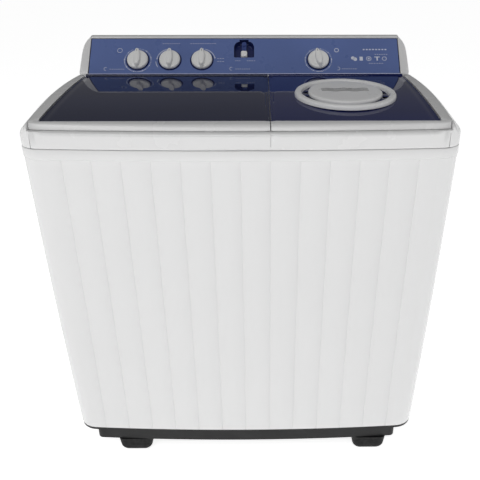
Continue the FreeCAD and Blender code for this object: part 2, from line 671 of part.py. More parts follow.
def pulsator_seal():
    return ring(PULSATOR[0], PULSATOR[1], WASH_FLOOR_Z - 4.1, WASH_FLOOR_Z + 2, 13.9, SHAFT_R + 0.08)


def pulsator():
    x, y = PULSATOR
    z = WASH_FLOOR_Z + 5
    r = PULSATOR_R
    disc = revolve([(0, z + 3), (20, z + 3), (r - 8, z), (r - 1, z + 2), (r, z + 7), (r - 6, z + 9),
                    (r * 0.55, z + 9), (42, z + 26), (24, z + 34), (0, z + 34)], x, y)
    for i in range(6):
        fin = Part.Face(Part.makePolygon([V(34, -9, 0), V(r - 14, -4, 0), V(r - 10, 0, 0), V(r - 14, 4, 0),
                                          V(34, 9, 0), V(34, -9, 0)])).extrude(V(0, 0, 26))
        fin = fin.common(revolve([(0, 0), (r - 8, 0), (r - 12, 12), (60, 25), (0, 25)], 0, 0))
        fin.rotate(V(0, 0, 0), Z_AXIS, 60 * i)
        fin.translate(V(x, y, z + 6))
        disc = disc.fuse(fin)
    return disc.cut(cyl(x, y, z - 5, z + 27, SHAFT_R)).cut(cyl(x, y, z + 20, z + 50, 3.5))


def pulsator_screw():
    x, y = PULSATOR
    z = WASH_FLOOR_Z + 5 + 34
    head = cyl(x, y, z + 0.2, z + 5, 11)
    head = head.makeFillet(1.5, edges_at(head, z + 5))
    return head.cut(box(x - 8, x + 8, y - 1, y + 1, z + 3, z + 6)).fuse(cyl(x, y, z - 4, z + 1, 3.4))


def pulsator_shaft():
    x, y = PULSATOR
    return cyl(x, y, 262, WASH_FLOOR_Z + 31.8, SHAFT_R)


def pulley(x, y, r, bore, spokes):
    """Grooved pulley, with cut-outs between spokes on a large one."""
    z0, z1 = PULLEY_Z - PULLEY_HALF_T, PULLEY_Z + PULLEY_HALF_T
    body = cyl(x, y, z0, z1, r + BELT_T + 3)
    body = body.cut(ring(x, y, PULLEY_Z - BELT_W / 2 - 0.8, PULLEY_Z + BELT_W / 2 + 0.8, r + 50, r - 0.3))
    for i in range(spokes):
        window = ring(0, 0, z0 - 1, z1 + 1, r - 12, 30).common(
            Part.makeCylinder(r, 40, V(0, 0, z0 - 5), Z_AXIS, 360 / spokes - 18))
        window.rotate(V(0, 0, 0), Z_AXIS, 360 / spokes * i)
        window.translate(V(x, y, 0))
        body = body.cut(window)
    return body.cut(cyl(x, y, z0 - 1, z1 + 1, bore))


def drive_belt():
    gap = 0.4
    height = V(0, 0, BELT_W)
    outer = Part.Face(belt_outline(PULSATOR, PULLEY_R + gap + BELT_T, WASH_MOTOR, MOTOR_PULLEY_R + gap + BELT_T))
    inner = Part.Face(belt_outline(PULSATOR, PULLEY_R + gap, WASH_MOTOR, MOTOR_PULLEY_R + gap))
    belt = outer.extrude(height).cut(inner.extrude(height))
    return belt.translated(V(0, 0, PULLEY_Z - BELT_W / 2))


def motor_body(x, y, z0, z1, r, bore):
    """Induction motor: laminated stator between two end bells joined by through bolts."""
    bell = 16.0
    stator = rounded_box(x - r, x + r, y - r, y + r, z0 + bell, z1 - bell, r * 0.3)
    low = Part.makeCone(r * 0.6, r * 0.94, bell, V(x, y, z0), Z_AXIS)
    high = Part.makeCone(r * 0.94, r * 0.6, bell, V(x, y, z1 - bell), Z_AXIS)
    shapes = [stator, low, high]
    for i in range(4):
        a = math.radians(45 + 90 * i)
        shapes.append(cyl(x + r * 1.08 * math.cos(a), y + r * 1.08 * math.sin(a), z0 + 8, z1 - 8, 3.5))
    return fuse(shapes).cut(cyl(x, y, z0 - 1, z1 + 1, bore))


def motor_bracket():
    """Steel frame that hangs the wash motor under the tub, clear of the belt."""
    z0 = 257.0
    plate = box(-168, 38, 72, 98, z0, z0 + 3).fuse(box(-100, 38, 24, 146, z0, z0 + 3))
    plate = plate.cut(cyl(WASH_MOTOR[0], WASH_MOTOR[1], z0 - 1, z0 + 4, 16))
    left_leg = box(-168, -165, 72, 98, z0, WASH_FLOOR_Z - 4.2)
    right_leg = box(35, 38, 40, 96, z0, WASH_FLOOR_Z - 4.2)
    return fuse([plate, left_leg, right_leg])


# ---------------------------------------------------------------- spin side
def drain_tub():
    x, y = SPIN
    r, w = DRAIN_TUB_R, TUB_WALL
    z0 = DRAIN_TUB_FLOOR_Z
    wall = ring(x, y, z0, 960, r + w, r)
    floor = cyl(x, y, z0 - 3, z0, r + w).cut(cyl(x, y, z0 - 5, z0 + 5, 38))
    lip = ring(x, y, 880, 960, r + 10, r).common(arch_layer(-13.3, -16.3))
    lip = lip.common(box(SPLIT_X - 3, 500, -300, WASH_Y[1] + 4.5, 800, 970))
    tub = wall.common(arch_below(-13.3)).fuse(floor).fuse(lip)
    for i in range(4):
        hoop = ring(x, y, 480 + i * 100, 484 + i * 100, r + w + 3, r + w - 0.5)
        tub = tub.fuse(hoop)
    return tub.cut(cyl(x, y + 118, z0 - 5, z0 + 5, 15))


def spin_seal_boot():
    """Rubber bellows that closes the drain tub's floor round the spin shaft."""
    x, y = SPIN
    z = DRAIN_TUB_FLOOR_Z
    bore = SPIN_SHAFT_R + 0.4
    return revolve([(37.7, z + 2), (37.7, z - 4), (33, z - 9), (36, z - 15), (28, z - 21), (31, z - 27),
                    (16, z - 38), (bore, z - 38), (bore, z - 24), (25, z - 22), (22, z - 14),
                    (31, z - 10), (33, z + 2)], x, y)


def spin_basket():
    x, y = SPIN
    z0, z1 = BASKET_Z
    r, w = BASKET_R, BASKET_WALL
    wall = ring(x, y, z0, z1, r, r - w)
    floor = revolve([(0, z0), (r, z0), (r, z0 + 2), (60, z0 + 4), (34, z0 + 46), (14, z0 + 52), (0, z0 + 52)], x, y)
    basket = wall.fuse(floor).cut(cyl(x, y, z0 - 5, z0 + 44, SPIN_SHAFT_R))
    return basket


def balance_ring():
    x, y = SPIN
    z1 = BASKET_Z[1]
    body = ring(x, y, z1 + 0.1, z1 + 24, BASKET_R, 121)
    return body.makeFillet(4, edges_at(body, z1 + 24))


def press_lid():
    """Loose cover that holds the washing down inside the basket."""
    x, y = SPIN
    z = PRESS_LID_Z
    disc = cyl(x, y, z, z + 4, 118).fuse(ring(x, y, z, z + 9, 118, 113)).fuse(ring(x, y, z, z + 8, 72, 68))
    knob_body = cyl(x, y, z, z + 22, 18)
    disc = disc.fuse(knob_body.makeFillet(4, edges_at(knob_body, z + 22)))
    for i in range(12):
        slot = box(80, 106, -3.5, 3.5, z - 2, z + 7)
        slot.rotate(V(0, 0, 0), Z_AXIS, 30 * i)
        disc = disc.cut(slot.translated(V(x, y, 0)))
    return disc


def spin_shaft():
    return cyl(SPIN[0], SPIN[1], 254, BASKET_Z[0] + 43.5, SPIN_SHAFT_R)


def brake_drum():
    x, y = SPIN
    z0, z1 = DRUM_Z
    drum = cyl(x, y, z0, z1, DRUM_R).cut(ring(x, y, z0 - 1, z1 - 4, DRUM_R - 4, 18))
    return drum.cut(cyl(x, y, z0 - 1, z1 + 1, SPIN_SHAFT_R))


BRAKE_PIVOT = (SPIN[0] + 78.0, SPIN[1] + 24.0)


def brake_lever():
    """Arm with a lined shoe that is pulled against the drum when the spin lid is opened."""
    px, py = BRAKE_PIVOT
    gap = 2.6
    arm = box(px - 8, px + 8, py - 78, py + 8, 316, 321)
    arm = arm.cut(cyl(px, py, 310, 325, 4 + FIT))
    shoe = box(SPIN[0], px + 8, SPIN[1] - 16, SPIN[1] + 16, 304, 321)
    shoe = shoe.cut(cyl(SPIN[0], SPIN[1], 300, 325, DRUM_R + gap))
    shoe = shoe.cut(box(px - 12, px + 20, -400, 400, 300, 315.9))
    return arm.fuse(shoe).cut(cyl(px, py, 300, 325, 4 + FIT))


def spin_motor():
    """Spin motor with its three-armed cradle, and the post that carries the brake lever."""
    x, y = SPIN
    body = motor_body(x, y, 160, 270, 60, SPIN_SHAFT_R + FIT)
    cradle = cyl(x, y, 156, 160.5, 100).cut(cyl(x, y, 150, 165, 20))
    px, py = BRAKE_PIVOT
    post = cyl(px, py, 156, 315.7, 7).fuse(cyl(px, py, 315, 326, 4))
    return fuse([body, cradle, post])


def spring_places():
    return [(SPIN[0] + 84 * math.cos(math.radians(a)), SPIN[1] + 84 * math.sin(math.radians(a)))
            for a in (90, 210, 330)]


def spin_motor_springs():
    return Part.Compound([ring(x, y, BASE_FLOOR_Z + 3.2, 155.8, 15, 11) for x, y in spring_places()])


# ---------------------------------------------------------------- drain and electrics
def drain_valve_body():
    x, y = VALVE
    z0, z1 = VALVE_Z
    body = cyl(x, y, z0, z1, 34).cut(cyl(x, y, z0 + 6, z1 - 4, 30))
    body = body.cut(cyl(x, y, z0 - 2, z0 + 10, 15)).cut(cyl(x, y, z1 - 10, z1 + 5, 3.0))
    inlet = box(x - 20, x + 20, 112, y - 28, 343, 371).cut(box(x - 17, x + 17, 110, y - 20, 346, 368))
    mouth = box(x - 20, x + 20, 70, 112, 343, WASH_FLOOR_Z - 4.4)
    mouth = mouth.cut(box(x - 17, x + 17, 73, 115, 346, 385))
    body = body.cut(box(x - 17, x + 17, 140, y - 20, 346, 368))
    return fuse([body, inlet, mouth])


def drain_valve_plug():
    x, y = VALVE
    z = VALVE_Z[0] + 6.3
    bell = revolve([(0, z), (21, z), (19, z + 6), (7, z + 15), (2.2, z + 17), (0, z + 17)], x, y)
    return bell.fuse(cyl(x, y, z + 16, 945, 2.0))


def drain_pipe():
    """Drain line from the spin side and the valve down to the rear outlet."""
    x, y = VALVE
    r = 15.0
    tub_x, tub_y = SPIN[0], SPIN[1] + 118
    level = 300.0
    points = [(tub_x, tub_y, DRAIN_TUB_FLOOR_Z - 3.3), (tub_x, tub_y, level), (tub_x, y, level),
              (x, y, level), (x, y, OUTLET_Z), (x, 234, OUTLET_Z)]
    shapes = [rod(points[i], points[i + 1], r) for i in range(len(points) - 1)]
    shapes += [Part.makeSphere(r, V(*p)) for p in points[1:-1]]
    shapes.append(cyl(x, y, level, VALVE_Z[0] - 0.3, r))
    return fuse(shapes)


def drain_outlet():
    """Hose spigot that stands out of the rear cover."""
    x = VALVE[0]
    y0 = 234.3
    tube = rod((x, y0, OUTLET_Z), (x, BACK_Y, OUTLET_Z), OUTLET_R)
    tube = tube.fuse(rod((x, y0, OUTLET_Z), (x, CABINET_BACK_Y + 4, OUTLET_Z), OUTLET_R + 2))
    tube = tube.fuse(rod((x, y0, OUTLET_Z), (x, y0 + 5, OUTLET_Z), 21))
    return tube.cut(rod((x, y0 - 1, OUTLET_Z), (x, BACK_Y + 1, OUTLET_Z), OUTLET_R - 3))


def capacitor():
    x, y = 40.0, 180.0
    body = cyl(x, y, BASE_FLOOR_Z + 3.2, 150, 21)
    body = body.makeFillet(2, edges_at(body, 150))
    return fuse([body, box(x - 9, x - 6, y - 3, y + 3, 149, 158), box(x + 6, x + 9, y - 3, y + 3, 149, 158)])


def cord_gland():
    x, z = -300.0, 160.0
    y0 = CABINET_BACK_Y - 6
    gland = rod((x, y0, z), (x, CABINET_BACK_Y + 14, z), 8.0)
    gland = gland.fuse(rod((x, CABINET_BACK_Y + 3.3, z), (x, CABINET_BACK_Y + 8, z), 12))
    return gland.cut(rod((x, y0 - 1, z), (x, CABINET_BACK_Y + 20, z), 4.2))


# ---------------------------------------------------------------- write every node
def main():
    save("cabinet_shell", cabinet_shell())
    save("rear_cover", rear_cover())
    save("rear_cover_screws", rear_cover_screws())
    save("base_pan", base_pan())
    save("feet", feet())
    save("foot_pads", foot_pads())
    save("deck_frame", deck_frame())
    save("lid_hinge_pins", lid_hinge_pins())
    save("wash_lid_panel", lid_panel(-LID_HALF_X, SPLIT_X - SPLIT_GAP, -LID_HALF_X, SPLIT_X - 11))
    save("wash_lid_handle", lid_handle(-HANDLE_HALF_X, SPLIT_X - SPLIT_GAP))
    save("spin_lid_panel", spin_lid_panel())
    save("spin_lid_handle", lid_handle(SPLIT_X + SPLIT_GAP, HANDLE_HALF_X))
    save("vent_ring", vent_ring())
    save("vent_disc", vent_disc())
    save("control_housing", control_housing())
    save("end_cap_left", end_cap(-1))
    save("end_cap_right", end_cap(1))
    save("control_fascia", fascia_plate())
    save("wash_timer_knob", knob(WASH_TIMER_X))
    save("wash_mode_knob", knob(WASH_MODE_X))
    save("drain_knob", knob(DRAIN_KNOB_X))
    save("spin_timer_knob", knob(SPIN_TIMER_X, 15.0))
    save("wash_timer", switch_body(WASH_TIMER_X, 26, 24))
    save("wash_mode_switch", switch_body(WASH_MODE_X, 18, 20))
    save("drain_selector", switch_body(DRAIN_KNOB_X, 14, 16))
    save("spin_timer", switch_body(SPIN_TIMER_X, 26, 24))
    save("lever_guide", lever_guide())
    save("inlet_lever", inlet_lever())
    save("water_inlet", water_inlet())
    save("inlet_duct", inlet_duct())
    save("wash_tub", wash_tub())
    save("lint_filter", lint_filter())
    save("overflow_pipe", overflow_pipe())
    save("pulsator_bearing", pulsator_bearing())
    save("pulsator_seal", pulsator_seal())
    save("pulsator", pulsator())
    save("pulsator_screw", pulsator_screw())
    save("pulsator_shaft", pulsator_shaft())
    save("wash_pulley", pulley(PULSATOR[0], PULSATOR[1], PULLEY_R, SHAFT_R, 5))
    save("motor_pulley", pulley(WASH_MOTOR[0], WASH_MOTOR[1], MOTOR_PULLEY_R, 6.0, 0))
    save("drive_belt", drive_belt())
    save("wash_motor", motor_body(WASH_MOTOR[0], WASH_MOTOR[1], 142, 256.7, 54, 6.0 + FIT))
    save("wash_motor_rotor", cyl(WASH_MOTOR[0], WASH_MOTOR[1], 150, 292, 6.0))
    save("motor_bracket", motor_bracket())
    save("drain_tub", drain_tub())
    save("spin_seal_boot", spin_seal_boot())
    save("spin_basket", spin_basket())
    save("basket_balance_ring", balance_ring())
    save("press_lid", press_lid())
    save("spin_shaft", spin_shaft())
    save("brake_drum", brake_drum())
    save("brake_lever", brake_lever())
    save("spin_motor", spin_motor())
    save("spin_motor_springs", spin_motor_springs())
    save("drain_valve_body", drain_valve_body())
    save("drain_valve_plug", drain_valve_plug())
    save("drain_pipe", drain_pipe())
    save("drain_outlet", drain_outlet())
    save("capacitor", capacitor())
    save("cord_gland", cord_gland())


main()
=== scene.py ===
import json
import math

import bmesh
import bpy
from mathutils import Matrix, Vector


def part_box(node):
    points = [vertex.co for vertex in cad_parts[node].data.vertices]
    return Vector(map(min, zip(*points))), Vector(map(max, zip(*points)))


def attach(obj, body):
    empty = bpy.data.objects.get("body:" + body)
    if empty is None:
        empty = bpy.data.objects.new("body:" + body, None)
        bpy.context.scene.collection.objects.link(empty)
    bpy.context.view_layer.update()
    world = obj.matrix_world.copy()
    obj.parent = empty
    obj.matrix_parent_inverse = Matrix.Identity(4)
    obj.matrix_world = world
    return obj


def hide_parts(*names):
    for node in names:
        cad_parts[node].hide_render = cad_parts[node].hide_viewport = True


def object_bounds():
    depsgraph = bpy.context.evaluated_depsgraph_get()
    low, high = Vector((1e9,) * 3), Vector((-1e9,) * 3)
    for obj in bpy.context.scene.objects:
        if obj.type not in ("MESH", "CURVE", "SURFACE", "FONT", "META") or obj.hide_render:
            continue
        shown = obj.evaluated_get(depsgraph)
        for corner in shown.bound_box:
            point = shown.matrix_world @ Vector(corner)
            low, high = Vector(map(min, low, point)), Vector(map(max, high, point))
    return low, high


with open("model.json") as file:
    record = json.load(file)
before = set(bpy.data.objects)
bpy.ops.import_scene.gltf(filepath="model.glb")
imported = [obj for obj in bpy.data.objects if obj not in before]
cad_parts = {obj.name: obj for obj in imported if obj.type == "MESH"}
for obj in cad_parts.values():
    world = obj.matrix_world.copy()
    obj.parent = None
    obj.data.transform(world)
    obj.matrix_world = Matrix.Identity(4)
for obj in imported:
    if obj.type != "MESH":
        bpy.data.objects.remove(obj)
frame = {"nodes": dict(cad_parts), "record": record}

CAD_BOX = [list(map(float, corner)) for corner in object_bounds()]
MM = 0.001

# ------------------------------------------------------------------ sizes, in mm, as the CAD has them
SHELL_LOW, SHELL_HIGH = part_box("cabinet_shell")
DECK_LOW, DECK_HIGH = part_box("deck_frame")
HALF_W = SHELL_HIGH[0] / MM
FRONT_Y = -285.85
BACK_Y = 260.0
BOTTOM_Z = SHELL_LOW[2] / MM
BAND_Z = 847.5
SEAM_Z = SHELL_HIGH[2] / MM
BAND_STEP = 1.0
BOTTOM_HALF_W = 446.0
BOTTOM_FRONT_Y = -253.0
CROWN_R = 6000.0
SIDE_TAPER = 0.066
CORNER_R = 52.0
REAR_CORNER_R = 26.0
GROOVE_PITCH = 61.5
GROOVES = range(-6, 7)
ARCH_R, ARCH_Y, ARCH_Z = 3150.0, 110.0, 942.0
RAIL_R, RAIL_Y = 1965.0, 160.0
RECESS_X = 412.5
LID_X = 409.0
LID_FRONT_Y = -249.0
LID_REAR_Y = 137.5
SPLIT_X = 61.5
HANDLE_X = 430.0
HINGE_Y, HINGE_Z = 127.0, 940.5
PANEL_Y, PANEL_Z, PANEL_LEAN, PANEL_LENGTH = 141.0, 945.5, math.radians(43.7), 107.0
HOUSING_X = 407.5
TOP_Z = CAD_BOX[1][2] / MM
REAR_Y = CAD_BOX[1][1] / MM
KNOB_ROW = 39.0
KNOB_XS = {"wash_timer": -280.0, "wash_mode": -196.0, "drain": -112.0, "spin_timer": 194.0}
LEVER_X = -1.5
VENT = (234.0, -82.0)
SPIN = (237.0, -62.0)
WASH_MOUTH = (-384.0, 26.0, -220.0, 92.0)
WASH_MOUTH_R = 62.0
SPIN_MOUTH_R = 146.0
STRIP_Z = 905.9
HOUSING_FOOT_Z = 925.4
HOUSING_LOW_Z = 884.0
POCKET_X0, POCKET_X1, POCKET_Z = -45.0, 35.0, 975.0
INLET_X, INLET_Z, INLET_HOLE_R = -5.0, 945.0, 15.6
FOOT_XS = (-300.0, 332.0)
FOOT_YS = (-198.0, 190.0)
LID_GAP = 1.0


def arch(y):
    """Height of the lids' top surface at y."""
    return ARCH_Z - ARCH_R + math.sqrt(ARCH_R ** 2 - (y - ARCH_Y) ** 2)


def rail(y):
    """Height of the outer rails' crest at y."""
    return ARCH_Z - (RAIL_Y - y) ** 2 / (2 * RAIL_R)


def spread(a, b, n):
    return [a + (b - a) * i / n for i in range(n + 1)]


def smooth_step(t):
    t = min(max(t, 0.0), 1.0)
    return t * t * (3 - 2 * t)


# ------------------------------------------------------------------ materials
def new_material(name):
    material = bpy.data.materials.new(name)
    material.use_nodes = True
    nodes = material.node_tree.nodes
    return material, nodes, material.node_tree.links, nodes["Principled BSDF"]


def noise(nodes, links, scale, detail=3.0, stretch=None):
    """Noise in object space, scale in cycles per metre."""
    place = nodes.new("ShaderNodeTexCoord")
    texture = nodes.new("ShaderNodeTexNoise")
    texture.inputs["Scale"].default_value = scale
    texture.inputs["Detail"].default_value = detail
    source = place.outputs["Object"]
    if stretch:
        mapping = nodes.new("ShaderNodeMapping")
        mapping.inputs["Scale"].default_value = stretch
        links.new(source, mapping.inputs["Vector"])
        source = mapping.outputs["Vector"]
    links.new(source, texture.inputs["Vector"])
    return texture.outputs["Fac"]


def ramp_to(nodes, links, source, low, high, target):
    """Map noise from low to high on a number socket."""
    spread_node = nodes.new("ShaderNodeMapRange")
    spread_node.inputs["From Min"].default_value = 0.3
    spread_node.inputs["From Max"].default_value = 0.7
    spread_node.inputs["To Min"].default_value = low
    spread_node.inputs["To Max"].default_value = high
    links.new(source, spread_node.inputs["Value"])
    links.new(spread_node.outputs["Result"], target)


def tint(nodes, links, source, colour, change, target):
    """Vary a colour a little with noise."""
    ramp = nodes.new("ShaderNodeValToRGB")
    ramp.color_ramp.elements[0].position = 0.3
    ramp.color_ramp.elements[1].position = 0.7
    for element, factor in zip(ramp.color_ramp.elements, (1 - change, 1 + change)):
        element.color = [min(c * factor, 1.0) for c in colour] + [1.0]
    links.new(source, ramp.inputs["Fac"])
    links.new(ramp.outputs["Color"], target)


def bump(nodes, links, source, shader, strength, distance):
    node = nodes.new("ShaderNodeBump")
    node.inputs["Strength"].default_value = strength
    node.inputs["Distance"].default_value = distance
    links.new(source, node.inputs["Height"])
    links.new(node.outputs["Normal"], shader.inputs["Normal"])


def plastic(name, colour, rough=0.3, change=0.02, grain=900.0, grain_depth=0.00002, gloss=0.5, coat=0.0,
            uneven=0.15):
    """Moulded plastic: slight colour drift, uneven gloss and a fine surface grain."""
    material, nodes, links, shader = new_material(name)
    tint(nodes, links, noise(nodes, links, 7.0), colour, change, shader.inputs["Base Color"])
    low, high = rough * (1 - uneven), rough * (1 + uneven)
    ramp_to(nodes, links, noise(nodes, links, 22.0, 5.0), low, high, shader.inputs["Roughness"])
    bump(nodes, links, noise(nodes, links, grain, 2.0), shader, 0.25, grain_depth)
    shader.inputs["Specular IOR Level"].default_value = gloss
    if coat:
        shader.inputs["Coat Weight"].default_value = coat
        shader.inputs["Coat Roughness"].default_value = 0.06
    return material


def metal(name, colour, rough=0.3, stretch=(1, 1, 30), grain=120.0):
    """Worked metal with a directional grain."""
    material, nodes, links, shader = new_material(name)
    shader.inputs["Metallic"].default_value = 1.0
    grain_noise = noise(nodes, links, grain, 4.0, stretch)
    tint(nodes, links, grain_noise, colour, 0.08, shader.inputs["Base Color"])
    ramp_to(nodes, links, grain_noise, rough * 0.7, rough * 1.4, shader.inputs["Roughness"])
    bump(nodes, links, grain_noise, shader, 0.15, 0.00003)
    return material


def rubber(name, colour):
    material, nodes, links, shader = new_material(name)
    tint(nodes, links, noise(nodes, links, 60.0), colour, 0.15, shader.inputs["Base Color"])
    ramp_to(nodes, links, noise(nodes, links, 140.0), 0.55, 0.8, shader.inputs["Roughness"])
    bump(nodes, links, noise(nodes, links, 1400.0), shader, 0.5, 0.00006)
    shader.inputs["Specular IOR Level"].default_value = 0.25
    return material


def clear_lid(name, colour, alpha):
    """Tinted clear plastic: glossy, with flow lines from moulding in its tint."""
    material, nodes, links, shader = new_material(name)
    flow = noise(nodes, links, 5.0, 4.0, (0.35, 1.0, 1.0))
    tint(nodes, links, flow, colour, 0.18, shader.inputs["Base Color"])
    ramp_to(nodes, links, noise(nodes, links, 30.0), 0.02, 0.05, shader.inputs["Roughness"])
    bump(nodes, links, noise(nodes, links, 16.0, 1.0), shader, 0.05, 0.0004)
    shader.inputs["Alpha"].default_value = alpha
    shader.inputs["IOR"].default_value = 1.5
    shader.inputs["Specular IOR Level"].default_value = 0.35
    material.surface_render_method = "BLENDED"
    return material


MATERIALS = {
    "cabinet_white": plastic("gloss_white_shell", (0.80, 0.80, 0.80), 0.24, 0.006, 500.0, coat=0.25,
                             uneven=0.02),
    "deck_white": plastic("gloss_white_deck", (0.79, 0.79, 0.79), 0.27, 0.006, 700.0, coat=0.2, uneven=0.03),
    "panel_blue": plastic("panel_blue", (0.125, 0.182, 0.420), 0.30, 0.05, 900.0, 0.00001, 0.4, 0.1),
    # Dark navy for the recessed parts; in the knob wells its darkness is painted shade round the knobs.
    "navy_plastic": plastic("navy_recess_and_painted_shade", (0.012, 0.020, 0.105), 0.22, 0.08, 700.0, 0.00002, 0.5, 0.3),
    "lid_smoke": clear_lid("smoke_clear", (0.014, 0.018, 0.060), 0.89),
    "lid_blue": clear_lid("blue_clear", (0.006, 0.012, 0.095), 0.94),
    "knob_grey": plastic("knob_pearl", (0.87, 0.87, 0.86), 0.33, 0.03, 1300.0, 0.00003, 0.5),
    "vent_white": plastic("vent_pearl", (0.88, 0.88, 0.88), 0.30, 0.02, 1100.0, 0.00003, 0.5),
    "tub_plastic": plastic("tub_plastic", (0.62, 0.65, 0.70), 0.38, 0.03, 600.0, 0.00004),
    "basket_plastic": plastic("basket_plastic", (0.55, 0.60, 0.68), 0.34, 0.03, 600.0, 0.00004),
    "pulsator_blue": plastic("pulsator_blue", (0.20, 0.30, 0.52), 0.30, 0.04, 700.0, 0.00003),
    "black_plastic": plastic("base_black", (0.014, 0.014, 0.0145), 0.5, 0.1, 1000.0, 0.00008, 0.3),
    "foot_rubber": rubber("foot_rubber", (0.006, 0.006, 0.0063)),
    "seal_rubber": rubber("seal_rubber", (0.028, 0.028, 0.030)),
    "steel": metal("turned_steel", (0.62, 0.62, 0.63), 0.28),
    "motor_steel": plastic("motor_enamel", (0.16, 0.17, 0.18), 0.42, 0.08, 500.0, 0.0001),
    "cast_alloy": metal("cast_alloy", (0.52, 0.53, 0.54), 0.45, (1, 1, 1), 500.0),
    "pipe_grey": plastic("pipe_grey", (0.30, 0.31, 0.33), 0.45, 0.05, 500.0, 0.00004),
    "switch_plastic": plastic("switch_cream", (0.62, 0.59, 0.50), 0.45, 0.04, 700.0, 0.00004),
}
# Light lavender for a strip along the fascia's lower edge.
LAVENDER_EDGE_STRIP = plastic("lavender_edge_strip", (0.62, 0.65, 0.86), 0.30, 0.02, 900.0, 0.00001)
MARK_WHITE = plastic("printed_white", (0.72, 0.75, 0.86), 0.5, 0.02, 2500.0, 0.000005)
MARK_GREY = plastic("printed_grey", (0.10, 0.10, 0.11), 0.5, 0.05, 2500.0, 0.000005)
LEVER_BLUE = plastic("lever_blue", (0.05, 0.08, 0.26), 0.28, 0.03)
# Near-black navy for the gap round the fascia: painted shade, not the plastic's own colour.
GAP_PAINTED_SHADE = plastic("panel_gap_painted_shade", (0.010, 0.012, 0.045), 0.6, 0.1)


# ------------------------------------------------------------------ mesh helpers
def make(name, verts, faces, slot, body, replaced=(), material=None, angle=32.0):
    """A mesh piece from points in mm, riding on a body."""
    mesh = bpy.data.meshes.new(name)
    mesh.from_pydata([[c * MM for c in v] for v in verts], [], faces)
    work = bmesh.new()
    work.from_mesh(mesh)
    bmesh.ops.remove_doubles(work, verts=work.verts, dist=0.001 * MM)
    bmesh.ops.dissolve_degenerate(work, edges=work.edges, dist=0.0005 * MM)
    bmesh.ops.recalc_face_normals(work, faces=work.faces)
    work.to_mesh(mesh)
    work.free()
    mesh.validate()
    shade(mesh, angle)
    piece = bpy.data.objects.new(name, mesh)
    bpy.context.scene.collection.objects.link(piece)
    mesh.materials.append(material or MATERIALS[slot])
    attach(piece, body)
    if replaced:
        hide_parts(*replaced)
    return piece


def shade(mesh, angle):
    mesh.shade_smooth()
    mesh.set_sharp_from_angle(angle=math.radians(angle))


def rows_to_faces(n_rows, n_cols, closed_cols=True, closed_rows=False, start=0):
    """Quads over a grid of points kept row by row."""
    faces = []
    for i in range(n_rows if closed_rows else n_rows - 1):
        for j in range(n_cols if closed_cols else n_cols - 1):
            a = start + i * n_cols + j
            b = start + i * n_cols + (j + 1) % n_cols
            c = start + ((i + 1) % n_rows) * n_cols + (j + 1) % n_cols
            d = start + ((i + 1) % n_rows) * n_cols + j
            faces.append((a, b, c, d))
    return faces


def skin(rows, closed_cols=True, closed_rows=False, cap_first=False, cap_last=False):
    """Points and faces of a surface through rows of points."""
    n_cols = len(rows[0])
    verts = [p for row in rows for p in row]
    faces = rows_to_faces(len(rows), n_cols, closed_cols, closed_rows)
    if cap_first:
        faces.append(tuple(range(n_cols))[::-1])
    if cap_last:
        faces.append(tuple(range(len(verts) - n_cols, len(verts))))
    return verts, faces


def join(*parts):
    """Several (points, faces) pairs as one."""
    verts, faces = [], []
    for part_verts, part_faces in parts:
        start = len(verts)
        verts += part_verts
        faces += [tuple(start + i for i in face) for face in part_faces]
    return verts, faces


def moved(part, transform):
    return [transform(*p) for p in part[0]], part[1]


def lathe(profile, steps=96, x=0.0, y=0.0):
    """Turn (radius, z) points about a vertical axis at x, y. Ends on the axis are closed."""
    rows = []
    for r, z in profile:
        r = max(r, 0.0005)
        turns = [2 * math.pi * i / steps for i in range(steps)]
        rows.append([(x + r * math.cos(a), y + r * math.sin(a), z) for a in turns])
    return skin(rows, cap_first=profile[0][0] < 0.01, cap_last=profile[-1][0] < 0.01)


def upright(outline, low, high):
    """Closed prism over a plan outline, from low to high."""
    return skin([[(x, y, z) for x, y in outline] for z in (low, high)], cap_first=True, cap_last=True)


def block(x0, x1, y0, y1, z0, z1):
    verts = [(x, y, z) for z in (z0, z1) for x, y in ((x0, y0), (x1, y0), (x1, y1), (x0, y1))]
    return verts, [(3, 2, 1, 0), (4, 5, 6, 7), (0, 1, 5, 4), (1, 2, 6, 5), (2, 3, 7, 6), (3, 0, 4, 7)]


def rounded_rect(x0, x1, y0, y1, r, steps=8):
    """Outline of a rectangle with round corners, counter-clockwise."""
    points = []
    left, right, low, high = x0 + r, x1 - r, y0 + r, y1 - r
    for cx, cy, turn in ((right, low, -90), (right, high, 0), (left, high, 90), (left, low, 180)):
        for i in range(steps + 1):
            a = math.radians(turn + 90 * i / steps)
            points.append((cx + r * math.cos(a), cy + r * math.sin(a)))
    return points


def arc_points(cx, cy, r, a0, a1, steps):
    turns = spread(math.radians(a0), math.radians(a1), steps)
    return [(cx + r * math.cos(a), cy + r * math.sin(a)) for a in turns]


def circle(cx, cy, r, steps):
    """Outline of a circle, its first point not repeated."""
    return arc_points(cx, cy, r, 0, 360, steps)[:-1]


def cutter_from(part):
    mesh = bpy.data.meshes.new("cutter")
    mesh.from_pydata([[c * MM for c in v] for v in part[0]], [], part[1])
    work = bmesh.new()
    work.from_mesh(mesh)
    bmesh.ops.recalc_face_normals(work, faces=work.faces)
    work.to_mesh(mesh)
    work.free()
    cutter = bpy.data.objects.new("cutter", mesh)
    bpy.context.scene.collection.objects.link(cutter)
    return cutter


def carve(piece, cutters, angle=32.0):
    """Cut closed shapes out of a piece and keep the result in its mesh."""
    made = [cutter_from(part) for part in cutters]
    for cutter in made:
        modifier = piece.modifiers.new("cut", "BOOLEAN")
        modifier.operation = "DIFFERENCE"
        modifier.solver = "EXACT"
        modifier.object = cutter
    bake(piece, angle)
    for cutter in made:
        bpy.data.objects.remove(cutter, do_unlink=True)


def bake(piece, angle=32.0):
    """Apply a piece's modifiers to its own mesh."""
    graph = bpy.context.evaluated_depsgraph_get()
    graph.update()
    result = bpy.data.meshes.new_from_object(piece.evaluated_get(graph))
    piece.modifiers.clear()
    piece.data = result
    shade(result, angle)


